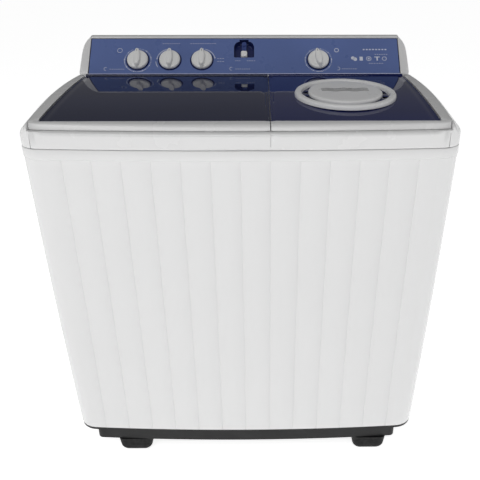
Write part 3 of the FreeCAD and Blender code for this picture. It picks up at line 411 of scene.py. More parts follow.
def bevelled(piece, width, segments=3, angle=30.0):
    """Round a piece's hard edges."""
    modifier = piece.modifiers.new("edge_round", "BEVEL")
    modifier.width = width * MM
    modifier.segments = segments
    modifier.limit_method = "ANGLE"
    modifier.angle_limit = math.radians(angle)
    modifier.harden_normals = True
    return piece


def thicken(piece, thickness):
    modifier = piece.modifiers.new("wall", "SOLIDIFY")
    modifier.thickness = thickness * MM
    modifier.offset = -1.0
    return piece


# ------------------------------------------------------------------ shared outlines
def plan_loop(half_w, front_y, front_xs, side_steps=10, inset=0.0, back_xs=(330.0, 0.0, -330.0),
              back_y=BACK_Y):
    """Plan outline of the cabinet as points with outward normals: bowed front from left to right,
    right side, back, left side. front_xs are the points wanted along the front."""
    crown = CROWN_R - inset
    r, rb = CORNER_R - inset, REAR_CORNER_R - inset
    half_w, front_y, back_y = half_w - inset, front_y + inset, back_y - inset
    centre_y = front_y + crown
    cx = half_w - r
    cy = centre_y - math.sqrt((crown - r) ** 2 - cx ** 2)
    start = math.atan2(cy - centre_y, cx)
    side = Vector((1, SIDE_TAPER)).normalized()
    end = math.atan2(side.y, side.x)
    side_t = Vector((cx, cy)) + side * r
    along = Vector((-side.y, side.x))
    inner = side_t - side * rb
    rear = inner + along * ((back_y - rb - inner.y) / along.y)
    half = []
    for a in spread(start, end, 12):
        half.append((cx + r * math.cos(a), cy + r * math.sin(a), math.cos(a), math.sin(a)))
    rear_side = rear + side * rb
    for t in spread(0, 1, side_steps)[1:-1]:
        p = side_t.lerp(rear_side, t)
        half.append((p.x, p.y, side.x, side.y))
    for a in spread(end, math.pi / 2, 6):
        half.append((rear.x + rb * math.cos(a), rear.y + rb * math.sin(a), math.cos(a), math.sin(a)))
    front = []
    for x in front_xs:
        y = centre_y - math.sqrt(crown ** 2 - x ** 2)
        front.append((x, y, x / crown, (y - centre_y) / crown))
    back = [(x, back_y, 0.0, 1.0) for x in back_xs]
    mirrored = [(-x, y, -nx, ny) for x, y, nx, ny in reversed(half)]
    return front + half + back + mirrored


def cabinet_size(z):
    """Half width and front of the tapering cabinet at height z."""
    t = (z - BOTTOM_Z) / (BAND_Z - BOTTOM_Z)
    half_w = BOTTOM_HALF_W + t * (HALF_W - BAND_STEP - BOTTOM_HALF_W)
    half_w += 2.4 * math.sin(math.pi * min(max(t, 0.0), 1.0))
    front_y = BOTTOM_FRONT_Y + t * (FRONT_Y + BAND_STEP - BOTTOM_FRONT_Y)
    return half_w, front_y


def on_panel(x, s, lift=0.0):
    """Point on the sloping control panel: x across, s up the face, lift out of it."""
    return (x, PANEL_Y + s * math.sin(PANEL_LEAN) - lift * math.cos(PANEL_LEAN),
            PANEL_Z + s * math.cos(PANEL_LEAN) + lift * math.sin(PANEL_LEAN))


def on_vent(x, y, z):
    """Point near the vent, from a frame that lies on the lid at its centre."""
    slope = math.asin((ARCH_Y - VENT[1]) / ARCH_R)
    return (VENT[0] + x, VENT[1] + y * math.cos(slope) - z * math.sin(slope),
            arch(VENT[1]) + y * math.sin(slope) + z * math.cos(slope))


# ------------------------------------------------------------------ cabinet
def front_xs_with_grooves():
    xs = []
    for k in GROOVES:
        x = k * GROOVE_PITCH
        xs += [x - 30.75, x - 1.9, x - 0.9, x, x + 0.9, x + 1.9]
    return xs[1:] + [GROOVES[-1] * GROOVE_PITCH + 18.0]


def groove_depth(x):
    near = min(abs(x - k * GROOVE_PITCH) for k in GROOVES)
    return 0.0 if near > 1.5 else (1.3 if near < 0.5 else 0.75)


def cabinet_row(z, inset, grooved):
    half_w, front_y = cabinet_size(z) if z < BAND_Z + 0.2 else (HALF_W, FRONT_Y)
    xs = front_xs_with_grooves()
    row = []
    for i, (x, y, nx, ny) in enumerate(plan_loop(half_w, front_y, xs, inset=inset)):
        cut = groove_depth(x) if grooved and i < len(xs) else 0.0
        row.append((x - nx * cut, y - ny * cut, z))
    return row


def build_cabinet():
    low = [(96.0, 2.0), (96.4, 0.9), (97.5, 0.2), (99.0, 0.0), (135.0, 0.0)]
    body = [(z, 0.0) for z in spread(200, 800, 6)] + [(830.0, 0.0), (BAND_Z - 2.6, 0.0)]
    rows = [cabinet_row(z, inset, z > 98) for z, inset in low + body]
    rows += [cabinet_row(BAND_Z + z, inset, False) for z, inset in ((-1.4, 0.0), (-0.4, 0.3), (0.4, 0.7))]
    rows += [cabinet_row(BAND_Z + z, inset, False) for z, inset in ((0.9, 0.15), (2.5, 0.0), (8.0, 0.0))]
    rim = ((-2.4, 0.0), (-1.2, 0.4), (-0.5, 1.6), (-0.5, 3.2))
    rows += [cabinet_row(SEAM_Z + z, inset, False) for z, inset in rim]
    verts, faces = skin(rows)
    open_back = []
    for face in faces:
        x = sum(verts[i][0] for i in face) / 4
        y = sum(verts[i][1] for i in face) / 4
        z = sum(verts[i][2] for i in face) / 4
        if abs(x) < 331 and y > BACK_Y - 4 and 134 < z < 601:
            open_back.append(face)
    faces = [face for face in faces if face not in open_back]
    piece = make("cabinet_skin", verts, faces, "cabinet_white", "cabinet", ("cabinet_shell",), angle=40)
    thicken(piece, 2.6)
    bake(piece, 40)
    return piece


# ------------------------------------------------------------------ deck
def deck_height(x, y, inset):
    """Height of the deck's moulded top before the lid bay is cut."""
    x = abs(x)
    side = smooth_step((457.0 - x) / 27.0)
    crest = rail(y) + (arch(y) + 0.5 - rail(y)) * side
    crest -= roll(inset, 12.0)
    front = STRIP_Z - roll(inset, 8.5)
    to_front = smooth_step((424.0 - x) / 22.0) * smooth_step((-y - 236.0) / 8.0)
    return crest + (front - crest) * to_front


def roll(inset, radius):
    """How far a rounded edge has dropped at a distance in from the wall."""
    if inset >= radius:
        return 0.0
    return radius - math.sqrt(radius ** 2 - (radius - inset) ** 2)


def build_deck():
    xs = spread(-400.0, 400.0, 40)
    insets = [0.0, 0.15, 0.6, 1.4, 2.6, 4.2, 6.2, 8.5, 11.0, 14.0, 17.0, 20.0, 26.0, 34.0, 42.0, 49.0]
    rows = [[(x, y, SEAM_Z + 0.5) for x, y, nx, ny in plan_loop(HALF_W, FRONT_Y, xs, 26, 2.0)]]
    rows += [[(x, y, z) for x, y, nx, ny in plan_loop(HALF_W, FRONT_Y, xs, 26, inset)]
             for z, inset in ((SEAM_Z + 0.6, 1.2), (SEAM_Z + 1.4, 0.5), (SEAM_Z + 4.0, 0.4))]
    for inset in insets:
        loop = plan_loop(HALF_W - 0.2, FRONT_Y + 0.2, xs, 26, inset)
        rows.append([(x, y, min(deck_height(x, y, inset), 941.9)) for x, y, nx, ny in loop])
    verts, faces = skin(rows, cap_first=True, cap_last=True)
    piece = make("deck_moulding", verts, faces, "deck_white", "cabinet", ("deck_frame",), angle=36)
    carve(piece, [rear_cut(), lid_bay(), strip_bay(), tray_hollow(), wash_opening(), spin_opening()])
    carve(piece, [finger_slot(), split_groove()])
    bevelled(piece, 0.9, 2, 50)
    bake(piece, 36)
    for face in piece.data.polygons:
        if face.area > 0.0004:
            face.use_smooth = False
    return piece


def rear_cut():
    return block(-480, 480, 141.0, 300, 925.0, 980)


def side_profile(points, x0, x1):
    """Prism along X from (y, z) points."""
    verts = [(x, y, z) for x in (x0, x1) for y, z in points]
    n = len(points)
    faces = [tuple(range(n)), tuple(range(n, 2 * n))[::-1]]
    faces += [(i, (i + 1) % n, n + (i + 1) % n, n + i) for i in range(n)]
    return verts, faces


def lid_bay():
    floor = [(y, arch(y) - 10.0) for y in spread(LID_FRONT_Y - 0.6, 112.0, 24)]
    floor += [(112.0, 926.0), (141.6, 926.0), (141.6, 980.0), (LID_FRONT_Y - 0.6, 980.0)]
    return side_profile(floor, -RECESS_X, RECESS_X)


def strip_bay():
    return block(-HANDLE_X - 1.5, HANDLE_X + 1.5, -330.0, LID_FRONT_Y + 1.0, STRIP_Z, 980.0)


def tray_hollow():
    """Space below the deck's skin."""
    roof = [(y, arch(y) - 13.0) for y in spread(LID_FRONT_Y + 3.0, 109.0, 20)]
    floor = [(109.0, 922.0), (256.0, 922.0), (256.0, 850.0), (-268.0, 850.0), (-268.0, 901.5)]
    floor.append((LID_FRONT_Y + 3, 901.5))
    return side_profile(roof + floor, -428.0, 428.0)


def wash_opening():
    return upright(rounded_rect(*WASH_MOUTH, WASH_MOUTH_R, 10), 840.0, 990.0)


def spin_opening():
    return upright(circle(SPIN[0], SPIN[1], SPIN_MOUTH_R, 72), 840.0, 990.0)


def finger_slot():
    """Shallow finger slot in the deck's lower front edge, with slanting ends."""
    verts, faces = block(-275.0, 266.0, -300.0, FRONT_Y + 3.4, 850.0, SEAM_Z + 4.2)
    verts = [(x + (5.0 if x < 0 else -5.0) * (z > 860), y - (1.4 if z > 860 and y > -290 else 0), z)
             for x, y, z in verts]
    return verts, faces


def split_groove():
    return block(SPLIT_X - 0.8, SPLIT_X + 0.8, -300.0, FRONT_Y + 3.0, 877.5, 930.0)


# ------------------------------------------------------------------ lids
def build_lid(name, node, body, slot, x0, x1, hole=None):
    """Clear lid: arched plate with a raised bead inside its edges, a rim below and a hinge barrel."""
    xs = [x0, x0 + 0.5, x0 + 2.6, x0 + 3.4, x0 + 7.6, x0 + 8.4, x0 + 10.6, x0 + 11.4]
    xs += spread(x0 + 20, x1 - 20, 24)
    xs += [x1 - 11.4, x1 - 10.6, x1 - 8.4, x1 - 7.6, x1 - 3.4, x1 - 2.6, x1 - 0.5, x1]
    ys = [LID_FRONT_Y, LID_FRONT_Y + 0.5] + spread(LID_FRONT_Y + 4, 126.0, 36) + [134.0, 137.0, LID_REAR_Y]
    top = []
    for y in ys:
        row = []
        for x in xs:
            edge = min(x - x0, x1 - x, y - LID_FRONT_Y, LID_REAR_Y - y)
            side = min(x - x0, x1 - x)
            drop = 0.5 if edge < 0.1 else 0.0
            drop += 0.8 if 3.0 < side < 8.0 else (0.35 if 8.0 < side < 11.0 else 0.0)
            row.append((x, y, arch(y) - drop))
        top.append(row)
    verts, faces = skin(top, closed_cols=False)
    piece = make(name, verts, faces, slot, body, (node,), angle=24)
    thicken(piece, 2.6)
    bake(piece, 24)
    if hole:
        carve(piece, [upright(circle(VENT[0], VENT[1], hole, 96), 880.0, 980.0)], 24)
    build_lid_rim(name, body, slot, x0, x1)
    build_barrel(name, body, slot, x0, x1)
    return piece


def build_lid_rim(name, body, slot, x0, x1):
    """Wall under the lid's edge, on the front and both sides."""
    sides = []
    for a, b in ((x0 + 0.4, x0 + 2.9), (x1 - 2.9, x1 - 0.4)):
        rows = []
        for y in spread(LID_FRONT_Y + 0.4, 113.0, 30):
            top, foot = arch(y) - 2.4, arch(y) - 9.3
            rows.append([(a, y, top), (b, y, top), (b, y, foot), (a, y, foot)])
        sides.append(skin(rows, cap_first=True, cap_last=True))
    y, z = LID_FRONT_Y + 0.4, arch(LID_FRONT_Y)
    sides.append(block(x0 + 2.9, x1 - 2.9, y, y + 2.5, z - 9.3, z - 2.3))
    verts, faces = join(*sides)
    return make(name + "_rim", verts, faces, slot, body)


def build_barrel(name, body, slot, x0, x1):
    """Hinge barrel with rounded ends and an open bore."""
    rows = []
    ends = ((x0, 2.6), (x0, 4.4), (x0 + 0.6, 5.0), (x1 - 0.6, 5.0), (x1, 4.4), (x1, 2.6))
    turns = spread(0, 2 * math.pi, 24)[:-1]
    for x, r in ends:
        rows.append([(x, HINGE_Y + r * math.cos(a), HINGE_Z + r * math.sin(a)) for a in turns])
    verts, faces = skin(rows, closed_rows=True)
    return make(name + "_barrel", verts, faces, slot, body)


def front_line(x, inset):
    """Front of the bowed plan outline at x, set in."""
    r = CORNER_R - inset
    crown = CROWN_R - inset
    centre_y = FRONT_Y + CROWN_R
    cx = HALF_W - CORNER_R
    if abs(x) <= cx:
        return centre_y - math.sqrt(crown ** 2 - x ** 2)
    cy = centre_y - math.sqrt((CROWN_R - CORNER_R) ** 2 - cx ** 2)
    return cy - math.sqrt(max(r ** 2 - (abs(x) - cx) ** 2, 0.0))


def build_handle(name, node, body, x0, x1):
    """White grip strip along a lid's front edge, bowed like the cabinet's front."""
    end = 1 if x1 > 400 else -1
    xs = spread(x0, x1, 40)
    outer = (404.0, 410.0, 416.0, 421.0, 425.0, 428.0, 429.4)
    xs = sorted(set([x for x in xs if abs(x) < 402] + [end * x for x in outer] + [x0, x1]))
    rows = []
    rear, top = LID_FRONT_Y - 0.25, arch(LID_FRONT_Y)
    for x in xs:
        front = min(front_line(x, 10.0), rear - 3.0)
        depth = rear - front
        edge = 0.7 if x in (x0, x1) else 0.0
        row = [(rear - edge, 906.7 + edge), (rear - edge, top - edge), (rear - 1.2, top - 0.1 - edge)]
        for t in (0.3, 0.52, 0.7, 0.82, 0.9, 0.955, 0.985, 1.0):
            fall = 0.1 + 2.6 * t + 10.2 * max(0.0, (t - 0.5) / 0.5) ** 2.6
            row.append((rear - depth * t + edge, top - fall - edge))
        row += [(front + edge, 909.0 if depth > 6 else 908.2), (front + 0.5 + edge, 907.0 + edge),
                (front + 1.2 + edge, 906.7 + edge)]
        rows.append([(x, y, z) for y, z in row])
    verts, faces = skin(rows, cap_first=True, cap_last=True)
    return make(name, verts, faces, "deck_white", body, (node,), angle=38)


def build_vent():
    ring = [(97.3, -2.0), (99.5, 4.0), (99.9, 7.6), (101.0, 9.2), (102.8, 9.9), (107.2, 10.0), (110.8, 9.6),
            (113.2, 8.2), (114.6, 5.6), (115.0, 1.2), (114.9, 0.1)]
    verts, faces = lathe(ring, 128)
    verts = [on_vent(*p) for p in verts]
    make("vent_trim", verts, faces, "vent_white", "spin_lid", ("vent_ring",), angle=40)
    build_vent_grille()
    disc = [(0, 1.8), (81, 1.8), (83.6, 2.6), (84.0, 5.0), (83.6, 8.0), (82.2, 9.9), (79.6, 10.8),
            (76.0, 11.0), (60.0, 11.0), (30.0, 11.0), (0, 11.0)]
    verts, faces = lathe(disc, 128)
    verts = [on_vent(*p) for p in verts]
    make("vent_cap", verts, faces, "vent_white", "spin_lid", ("vent_disc",), angle=40)


def build_vent_grille():
    """Slotted ring at the bottom of the gap round the vent's cap."""
    steps = 96
    rows = []
    turns = [2 * math.pi * i / steps for i in range(steps)]
    for r in (98.0, 96.0, 85.0, 78.0):
        rows.append([(r * math.cos(a), r * math.sin(a), 1.2) for a in turns])
    verts, faces = skin(rows)
    kept = [f for k, f in enumerate(faces) if not (steps <= k < 2 * steps and (k % 6) in (1, 2, 3))]
    verts = [on_vent(*p) for p in verts]
    piece = make("vent_grille", verts, kept, "navy_plastic", "spin_lid", angle=30)
    thicken(piece, 2.4)
    return piece


def airflow_mark():
    """Three wavy lines printed on the vent cap."""
    parts = []
    for k in (-1, 0, 1):
        rows = []
        for t in spread(0, 1, 44):
            x = -54 + 108 * t
            y = 8 + k * 9 + 3.0 * math.sin(t * 2 * math.pi * 2.5)
            half = 1.7 * math.sqrt(max(1 - (2 * t - 1) ** 8, 0.02))
            rows.append([on_vent(x, y - half, 11.02), on_vent(x, y - half * 0.4, 11.5),
                         on_vent(x, y + half * 0.4, 11.5), on_vent(x, y + half, 11.02)])
        parts.append(skin(rows, closed_cols=False))
    verts, faces = join(*parts)
    return make("vent_air_mark", verts, faces, "vent_white", "spin_lid", material=MARK_GREY, angle=60)


# ------------------------------------------------------------------ control housing
def housing_profile(inset=0.0):
    """Side view of the housing from its front foot up, over the top and down the back, as (y, z)."""
    length = PANEL_LENGTH + 1.5
    top_y, top_z = PANEL_Y + length * math.sin(PANEL_LEAN), PANEL_Z + length * math.cos(PANEL_LEAN)
    points = [(PANEL_Y + inset, HOUSING_FOOT_Z), (PANEL_Y + inset, PANEL_Z - 2.0 + inset)]
    points += [(PANEL_Y + 0.35 + inset, PANEL_Z - 0.5 + inset * 0.6)]
    nose = [(0.0, 0.0), (0.4, 1.2), (1.6, 2.6), (3.6, 3.8), (6.6, 4.6), (10.5, 5.0)]
    points += [(top_y + dy + inset * 0.5, top_z + dz - inset) for dy, dz in nose]
    top = TOP_Z - inset
    rear = REAR_Y - inset
    points.append((top_y + 22, top - 0.6))
    shoulder = ((30, 3.4), (22, 5.4), (14, 9.0), (7, 14.5), (2.4, 21.5), (0, 30.0))
    points += [(rear - dy, top - dz) for dy, dz in shoulder]
    low, inner = HOUSING_LOW_Z + inset, BACK_Y + 0.5 + inset
    points += [(rear, low), (inner, low), (inner, HOUSING_FOOT_Z)]
    return points


def housing_wall(thickness=2.6):
    """C-shaped section of the housing: everything but its sloping face and its underside."""
    outer = housing_profile()[3:]
    inner = housing_profile(thickness)[3:]
    return outer + inner[::-1]


def build_housing():
    shell = side_profile(housing_wall(), -HOUSING_X, HOUSING_X)
    piece = make("housing_shell", *shell, "deck_white", "cabinet", ("control_housing",), angle=34)
    cuts = [block(POCKET_X0, POCKET_X1, 250, REAR_Y + 4, 880.0, POCKET_Z)]
    cuts += [block(-330 + i * 14, -325 + i * 14, REAR_Y - 8, REAR_Y + 4, 905, 965) for i in range(10)]
    carve(piece, cuts, 34)
    bevelled(piece, 0.6, 2, 50)
    front, rear = PANEL_Y, PANEL_Y + 3
    section = [(front, HOUSING_FOOT_Z), (rear, HOUSING_FOOT_Z), (rear, 944.6), (front, 943.6)]
    foot = side_profile(section, -HOUSING_X, HOUSING_X)
    make("housing_foot", *foot, "deck_white", "cabinet")
    build_inlet_pocket()
    return piece


def build_inlet_pocket():
    """Walls of the pocket for the water inlet, and its back with the spigot's hole."""
    wall, front, rear = 2.6, 252.5, REAR_Y - 0.6
    sides = [block(x, x + wall, front, rear, 926, POCKET_Z + wall) for x in (POCKET_X0 - wall, POCKET_X1)]
    roof = block(POCKET_X0, POCKET_X1, front, rear, POCKET_Z, POCKET_Z + wall)
    make("inlet_pocket_walls", *join(*sides, roof), "deck_white", "cabinet")
    plate = block(POCKET_X0, POCKET_X1, 252.4, 255, 926, POCKET_Z)
    back = make("inlet_pocket_back", *plate, "deck_white", "cabinet")
    hole = circle(INLET_X, INLET_Z, INLET_HOLE_R, 40)
    rows = [[(x, y, z) for x, z in hole] for y in (248.0, 262.0)]
    carve(back, [skin(rows, cap_first=True, cap_last=True)])


CAP_EDGE = [(880.0, 430.3), (960.0, 430.0), (984.0, 429.3), (996.0, 428.3), (1003.0, 427.2), (1009.0, 425.2),
            (1013.5, 423.0), (1017.5, 420.2), (1020.5, 417.2), (1023.5, 413.8), (1026.0, 410.4), (1029.5, 408.4)]


def cap_reach(z):
    """Outer side of an end cap at height z."""
    for (z0, x0), (z1, x1) in zip(CAP_EDGE, CAP_EDGE[1:]):
        if z <= z1:
            return x0 + (x1 - x0) * (z - z0) / (z1 - z0)
    return CAP_EDGE[-1][1]


def build_cap(name, node, side):
    """End cap of the housing: upright side with a generous round shoulder at its top."""
    x_in = HOUSING_X + 0.5
    steps = [(0.0, 0.5), (0.02, 0.1), (0.08, 0.0), (0.35, 0.0), (0.72, 0.0)]
    steps += [(0.72 + 0.28 * math.sin(a), 6.0 * (1 - math.cos(a))) for a in spread(0.2, 1.5, 7)]
    rows = []
    for t, inset in steps:
        row = []
        for y, z in fine_profile(inset):
            row.append((side * (x_in + (cap_reach(z + inset * 0.5) - x_in) * t), y, z))
        rows.append(row)
    verts, faces = skin(rows, cap_first=True, cap_last=True)
    return make(name, verts, faces, "deck_white", "cabinet", (node,), angle=42)


def fine_profile(inset):
    """The housing's side view with its long face divided up."""
    points = housing_profile(inset)
    start, end = points[2], points[3]
    extra = [(start[0] + (end[0] - start[0]) * t, start[1] + (end[1] - start[1]) * t)
             for t in (0.25, 0.5, 0.65, 0.75, 0.82, 0.88, 0.93, 0.97)]
    return points[:3] + extra + points[3:]


def build_fascia():
    low, high = -1.0, PANEL_LENGTH - 1.6
    outline = rounded_rect(-HOUSING_X + 2.0, HOUSING_X - 2.0, low, high, 3.0, 5)
    rows = [[(x, s, lift) for x, s in outline] for lift in (-3.0, -0.5)]
    inner = rounded_rect(-HOUSING_X + 2.4, HOUSING_X - 2.4, low + 0.4, high - 0.4, 2.8, 5)
    rows += [[(x, s, 0.0) for x, s in inner]]
    plate = moved(skin(rows, cap_first=True, cap_last=True), on_panel)
    piece = make("fascia_face", *plate, "panel_blue", "cabinet", ("control_fascia",), angle=30)
    cuts = []
    for x in KNOB_XS.values():
        cuts += [upright(circle(x, KNOB_ROW, r, 64), floor, 4.0) for r, floor in ((31.0, -1.1), (5.0, -9.0))]
    cuts.append(upright(lever_window(), -9.0, 4.0))
    carve(piece, [moved(cut, on_panel) for cut in cuts], 30)
    # Each shallow knob well is real, but its dark navy floor is painted shade round the knob.
    well = [(5.2, -1.05), (30.4, -1.05), (30.9, -0.8), (30.9, -0.1)]
    wells = [lathe(well, 64, x, KNOB_ROW) for x in KNOB_XS.values()]
    make("knob_wells_painted_shade", *moved(join(*wells), on_panel), "navy_plastic", "cabinet")
    # Dark plate behind the fascia's top and side edges, seen through the gap: painted shade.
    painted_shade_plate = join(block(-HOUSING_X + 0.4, HOUSING_X - 0.4, 104.0, PANEL_LENGTH, -3.0, -1.5),
                   block(-HOUSING_X + 0.4, -HOUSING_X + 4.0, 0.6, 104.0, -3.0, -1.5),
                   block(HOUSING_X - 4.0, HOUSING_X - 0.4, 0.6, 104.0, -3.0, -1.5))
    make("fascia_gap_painted_shade", *moved(painted_shade_plate, on_panel), "panel_blue", "cabinet", material=GAP_PAINTED_SHADE)
    # Light lavender strip along the fascia's lower edge.
    edge = block(-HOUSING_X + 0.8, HOUSING_X - 0.8, -3.6, -1.1, -1.6, 0.25)
    strip = make("fascia_edge_strip", *moved(edge, on_panel), "panel_blue", "cabinet", material=LAVENDER_EDGE_STRIP)
    bevelled(strip, 0.5, 3)
    return piece


def lever_window(inset=0.0):
    """Outline of the lever's window: straight foot, round shoulders and a narrow neck at the top."""
    half, neck, low, high = 26.5 - inset, 12.0 - inset, 47.0 + inset, 102.0 - inset
    turns = spread(math.pi / 2, 0, 8)
    shoulder = [(neck + (half - neck) * math.sin(a), 78.0 + 18.0 * math.cos(a)) for a in turns]
    right = [(half - 2.0, low), (half, low + 2.0)] + shoulder + [(neck, high)]
    return [(LEVER_X + a, s) for a, s in right] + [(LEVER_X - a, s) for a, s in reversed(right)]


def build_lever_guide():
    """Dark tray behind the window, narrowing as it goes in."""
    window = lever_window(0.1)
    rows = [[(a, s, -0.4) for a, s in window], [(a, s, -3.0) for a, s in window]]
    cx, cs = LEVER_X, 74.5
    for lift, scale in ((-9.0, 0.985), (-15.0, 0.965), (-16.6, 0.93)):
        rows.append([(cx + (a - cx) * scale, cs + (s - cs) * scale, lift) for a, s in window])
    verts, faces = skin(rows, cap_last=True)
    return make("lever_tray", *moved((verts, faces), on_panel), "navy_plastic", "cabinet", ("lever_guide",))


def build_lever():
    """Lever arm and its pearl grey finger tip."""
    arm = []
    for x0, x1 in ((-6.0, -3.8), (3.8, 6.0)):
        arm.append(block(LEVER_X + x0, LEVER_X + x1, 60.0, 94.0, -11.0, -4.5))
    arm.append(block(LEVER_X - 4.0, LEVER_X + 4.0, 60.0, 94.0, -11.0, -8.0))
    hub = [(0, -16.0), (6.0, -16.0), (6.5, -15.0), (6.5, -6.0), (6.0, -5.0), (0, -5.0)]
    turned = lathe(hub, 40, LEVER_X, 93.0)
    verts, faces = join(*arm, turned)
    make("lever_arm", *moved((verts, faces), on_panel), "knob_grey", "inlet_selector", ("inlet_lever",),
         material=LEVER_BLUE, angle=30)
    rows = []
    layers = ((-12.0, 1.2), (-11.0, 0.2), (-4.0, 0.0), (1.2, 0.5), (3.0, 1.4), (3.8, 2.8), (4.0, 4.4))
    for lift, inset in layers:
        outline = rounded_rect(LEVER_X - 8.5 + inset, LEVER_X + 8.5 - inset, 49 + inset, 67 - inset, 3.2, 6)
        rows.append([(x, s, lift) for x, s in outline])
    verts, faces = skin(rows, cap_first=True, cap_last=True)
    return make("lever_tip", *moved((verts, faces), on_panel), "knob_grey", "inlet_selector", angle=40)


def grip_outline(inset, low_cut):
    """Outline of a knob's grip bar, narrower at its ends."""
    points = []
    for t in spread(-1, 1, 24):
        v = t * (26.2 - inset) if t > 0 else t * (26.2 - inset - low_cut)
        half = 8.7 - 3.4 * smooth_step((abs(v) - 3.0) / 24.0) - inset
        half *= (1 - abs(t) ** 9) ** 0.5 if abs(t) < 1 else 0.0
        points.append((half, v))
    return points + [(-h, v) for h, v in reversed(points[1:-1])]


def build_knob(name, node, body, x, turn):
    base = [(0, 0.4), (25.0, 0.4), (27.2, 0.8), (27.5, 1.6), (27.3, 4.6), (26.8, 6.6), (25.6, 8.0),
            (23.4, 8.9), (19.0, 9.4), (10.0, 9.8), (0, 9.9)]
    disc = lathe(base, 96)
    rows = []
    for lift, inset, cut in ((7.0, -0.7, -0.4), (9.6, -0.2, 0.0), (11.0, 0.15, 0.6), (15.0, 0.5, 2.2),
                             (17.6, 0.8, 3.4), (18.9, 1.4, 4.2), (19.6, 2.3, 5.2), (19.95, 3.6, 6.8)):
        rows.append([(h, v, lift) for h, v in grip_outline(inset, cut)])
    grip = skin(rows, cap_first=True, cap_last=True)
    stem = lathe([(0, -15.0), (2.9, -15.0), (2.9, 0.6), (0, 0.6)], 24)
    verts, faces = join(disc, grip, stem)
    c, s = math.cos(math.radians(turn)), math.sin(math.radians(turn))
    spun = [(a * c - b * s, a * s + b * c, h) for a, b, h in verts]
    placed = [on_panel(x + a, KNOB_ROW + b, h) for a, b, h in spun]
    piece = make(name, placed, faces, "knob_grey", body, (node,), angle=38)
    line = [(-0.6, 15.0, 19.7), (0.6, 15.0, 19.7), (0.6, 21.5, 19.7), (-0.6, 21.5, 19.7)]
    line += [(a, b, 20.0) for a, b, h in line]
    marks = [(a * c - b * s, a * s + b * c, h) for a, b, h in line]
    faces = [(0, 1, 2, 3), (7, 6, 5, 4), (0, 4, 5, 1), (1, 5, 6, 2), (2, 6, 7, 3), (3, 7, 4, 0)]
    placed = [on_panel(x + a, KNOB_ROW + b, h) for a, b, h in marks]
    make(name + "_line", placed, faces, "knob_grey", body, material=MARK_GREY)
    return piece


# ------------------------------------------------------------------ printed marks on the panel
def mark_bar(x, s, width, height, lift=0.12):
    return block(x - width / 2, x + width / 2, s - height / 2, s + height / 2, -0.3, lift)


def mark_ring(x, s, r, width, a0=0.0, a1=360.0, lift=0.12):
    steps = max(int(abs(a1 - a0) / 6), 4)
    inner, outer = r - width / 2, r + width / 2
    rows = []
    for a in spread(a0, a1, steps):
        u = (math.cos(math.radians(a)), math.sin(math.radians(a)))
        rows.append([(x + r * u[0], s + r * u[1], h) for r, h in
                     ((inner, -0.3), (inner, lift), (outer, lift), (outer, -0.3))])
    closed = abs(a1 - a0) > 359
    if closed:
        rows = rows[:-1]
    return skin(rows, closed_rows=closed, cap_first=not closed, cap_last=not closed)


def mark_dot(x, s, r, lift=0.12):
    return upright(circle(x, s, r, 12), -0.3, lift)


def dial_marks(x, radius, a0, a1, count, large_every=5):
    """Dots round a knob, larger at the main settings."""
    marks = []
    for k, a in enumerate(spread(a0, a1, count - 1)):
        u = (math.cos(math.radians(a)), math.sin(math.radians(a)))
        size = 1.7 if k % large_every == 0 else 1.05
        marks.append(mark_dot(x + radius * u[0], KNOB_ROW + radius * u[1], size))
    return marks


def dash_row(x, s, width, count, height=1.4):
    """A printed row of short dashes."""
    pitch = width / count
    return [mark_bar(x - width / 2 + (k + 0.5) * pitch, s, pitch * 0.55, height) for k in range(count)]


def care_icons():
    """Five plain pictograms: drop, square, wheel, stand and ring."""
    marks = [mark_dot(285.0, 45.0, 5.0), mark_dot(291.0, 41.5, 5.4), mark_bar(307.0, 43.0, 8.5, 12.0)]
    marks += [mark_ring(327.0, 43.0, 6.0, 1.5), mark_dot(327.0, 43.0, 2.4)]
    marks += [mark_bar(349.0, 48.0, 14.0, 2.6), mark_bar(349.0, 42.0, 3.6, 10.0)]
    return marks + [mark_ring(368.0, 43.0, 5.4, 1.3)]


def build_marks():
    marks = []
    marks += dial_marks(-280.0, 34.8, 90, -245, 44)
    marks += dial_marks(194.0, 34.8, 80, -255, 44)
    marks += [mark_ring(-280.0, KNOB_ROW, 34.8, 1.3, a, a + 38) for a in (160, 205, 275)]
    marks += [mark_ring(194.0, KNOB_ROW, 34.8, 1.3, a, a + 24) for a in (165, 345, 262)]
    marks.append(mark_ring(-196.0, KNOB_ROW, 34.4, 1.5, 95, 172))
    marks.append(mark_ring(-196.0, KNOB_ROW, 37.0, 1.5, 186, 214))
    marks.append(mark_ring(-112.0, KNOB_ROW, 34.4, 1.5, 12, 78))
    for x, a in ((-196.0, 1.57), (-196.0, 3.0), (-112.0, 1.5), (-112.0, 0.2)):
        marks.append(mark_dot(x + 34.4 * math.cos(a), KNOB_ROW + 34.4 * math.sin(a), 1.8))
    marks.append(mark_ring(243.0, 69.0, 5.4, 1.6))
    marks.append(mark_ring(-329.0, 69.0, 6.4, 1.0))
    marks += care_icons() + dash_row(344.0, 71.0, 66.0, 8, 3.6)
    marks += dash_row(360.0, 56.0, 36.0, 6) + dash_row(345.0, 28.5, 40.0, 6)
    marks += dash_row(-194.0, 90.0, 48.0, 8) + dash_row(-110.0, 90.0, 70.0, 11)
    marks += dash_row(-63.0, 44.0, 20.0, 3) + dash_row(-63.0, 35.0, 20.0, 3)
    marks += dash_row(-18.0, 37.0, 15.0, 3) + dash_row(17.0, 37.0, 24.0, 4)
    for x, turn in ((-362.0, 60), (-34.0, 60), (245.0, -120)):
        marks.append(mark_ring(x, 13.0, 4.6, 1.1, turn, turn + 220))
        marks += dash_row(x + 29.0, 12.0, 40.0, 7)
    verts, faces = join(*marks)
    printed = moved((verts, faces), on_panel)
    return make("panel_marks", *printed, "panel_blue", "cabinet", material=MARK_WHITE)


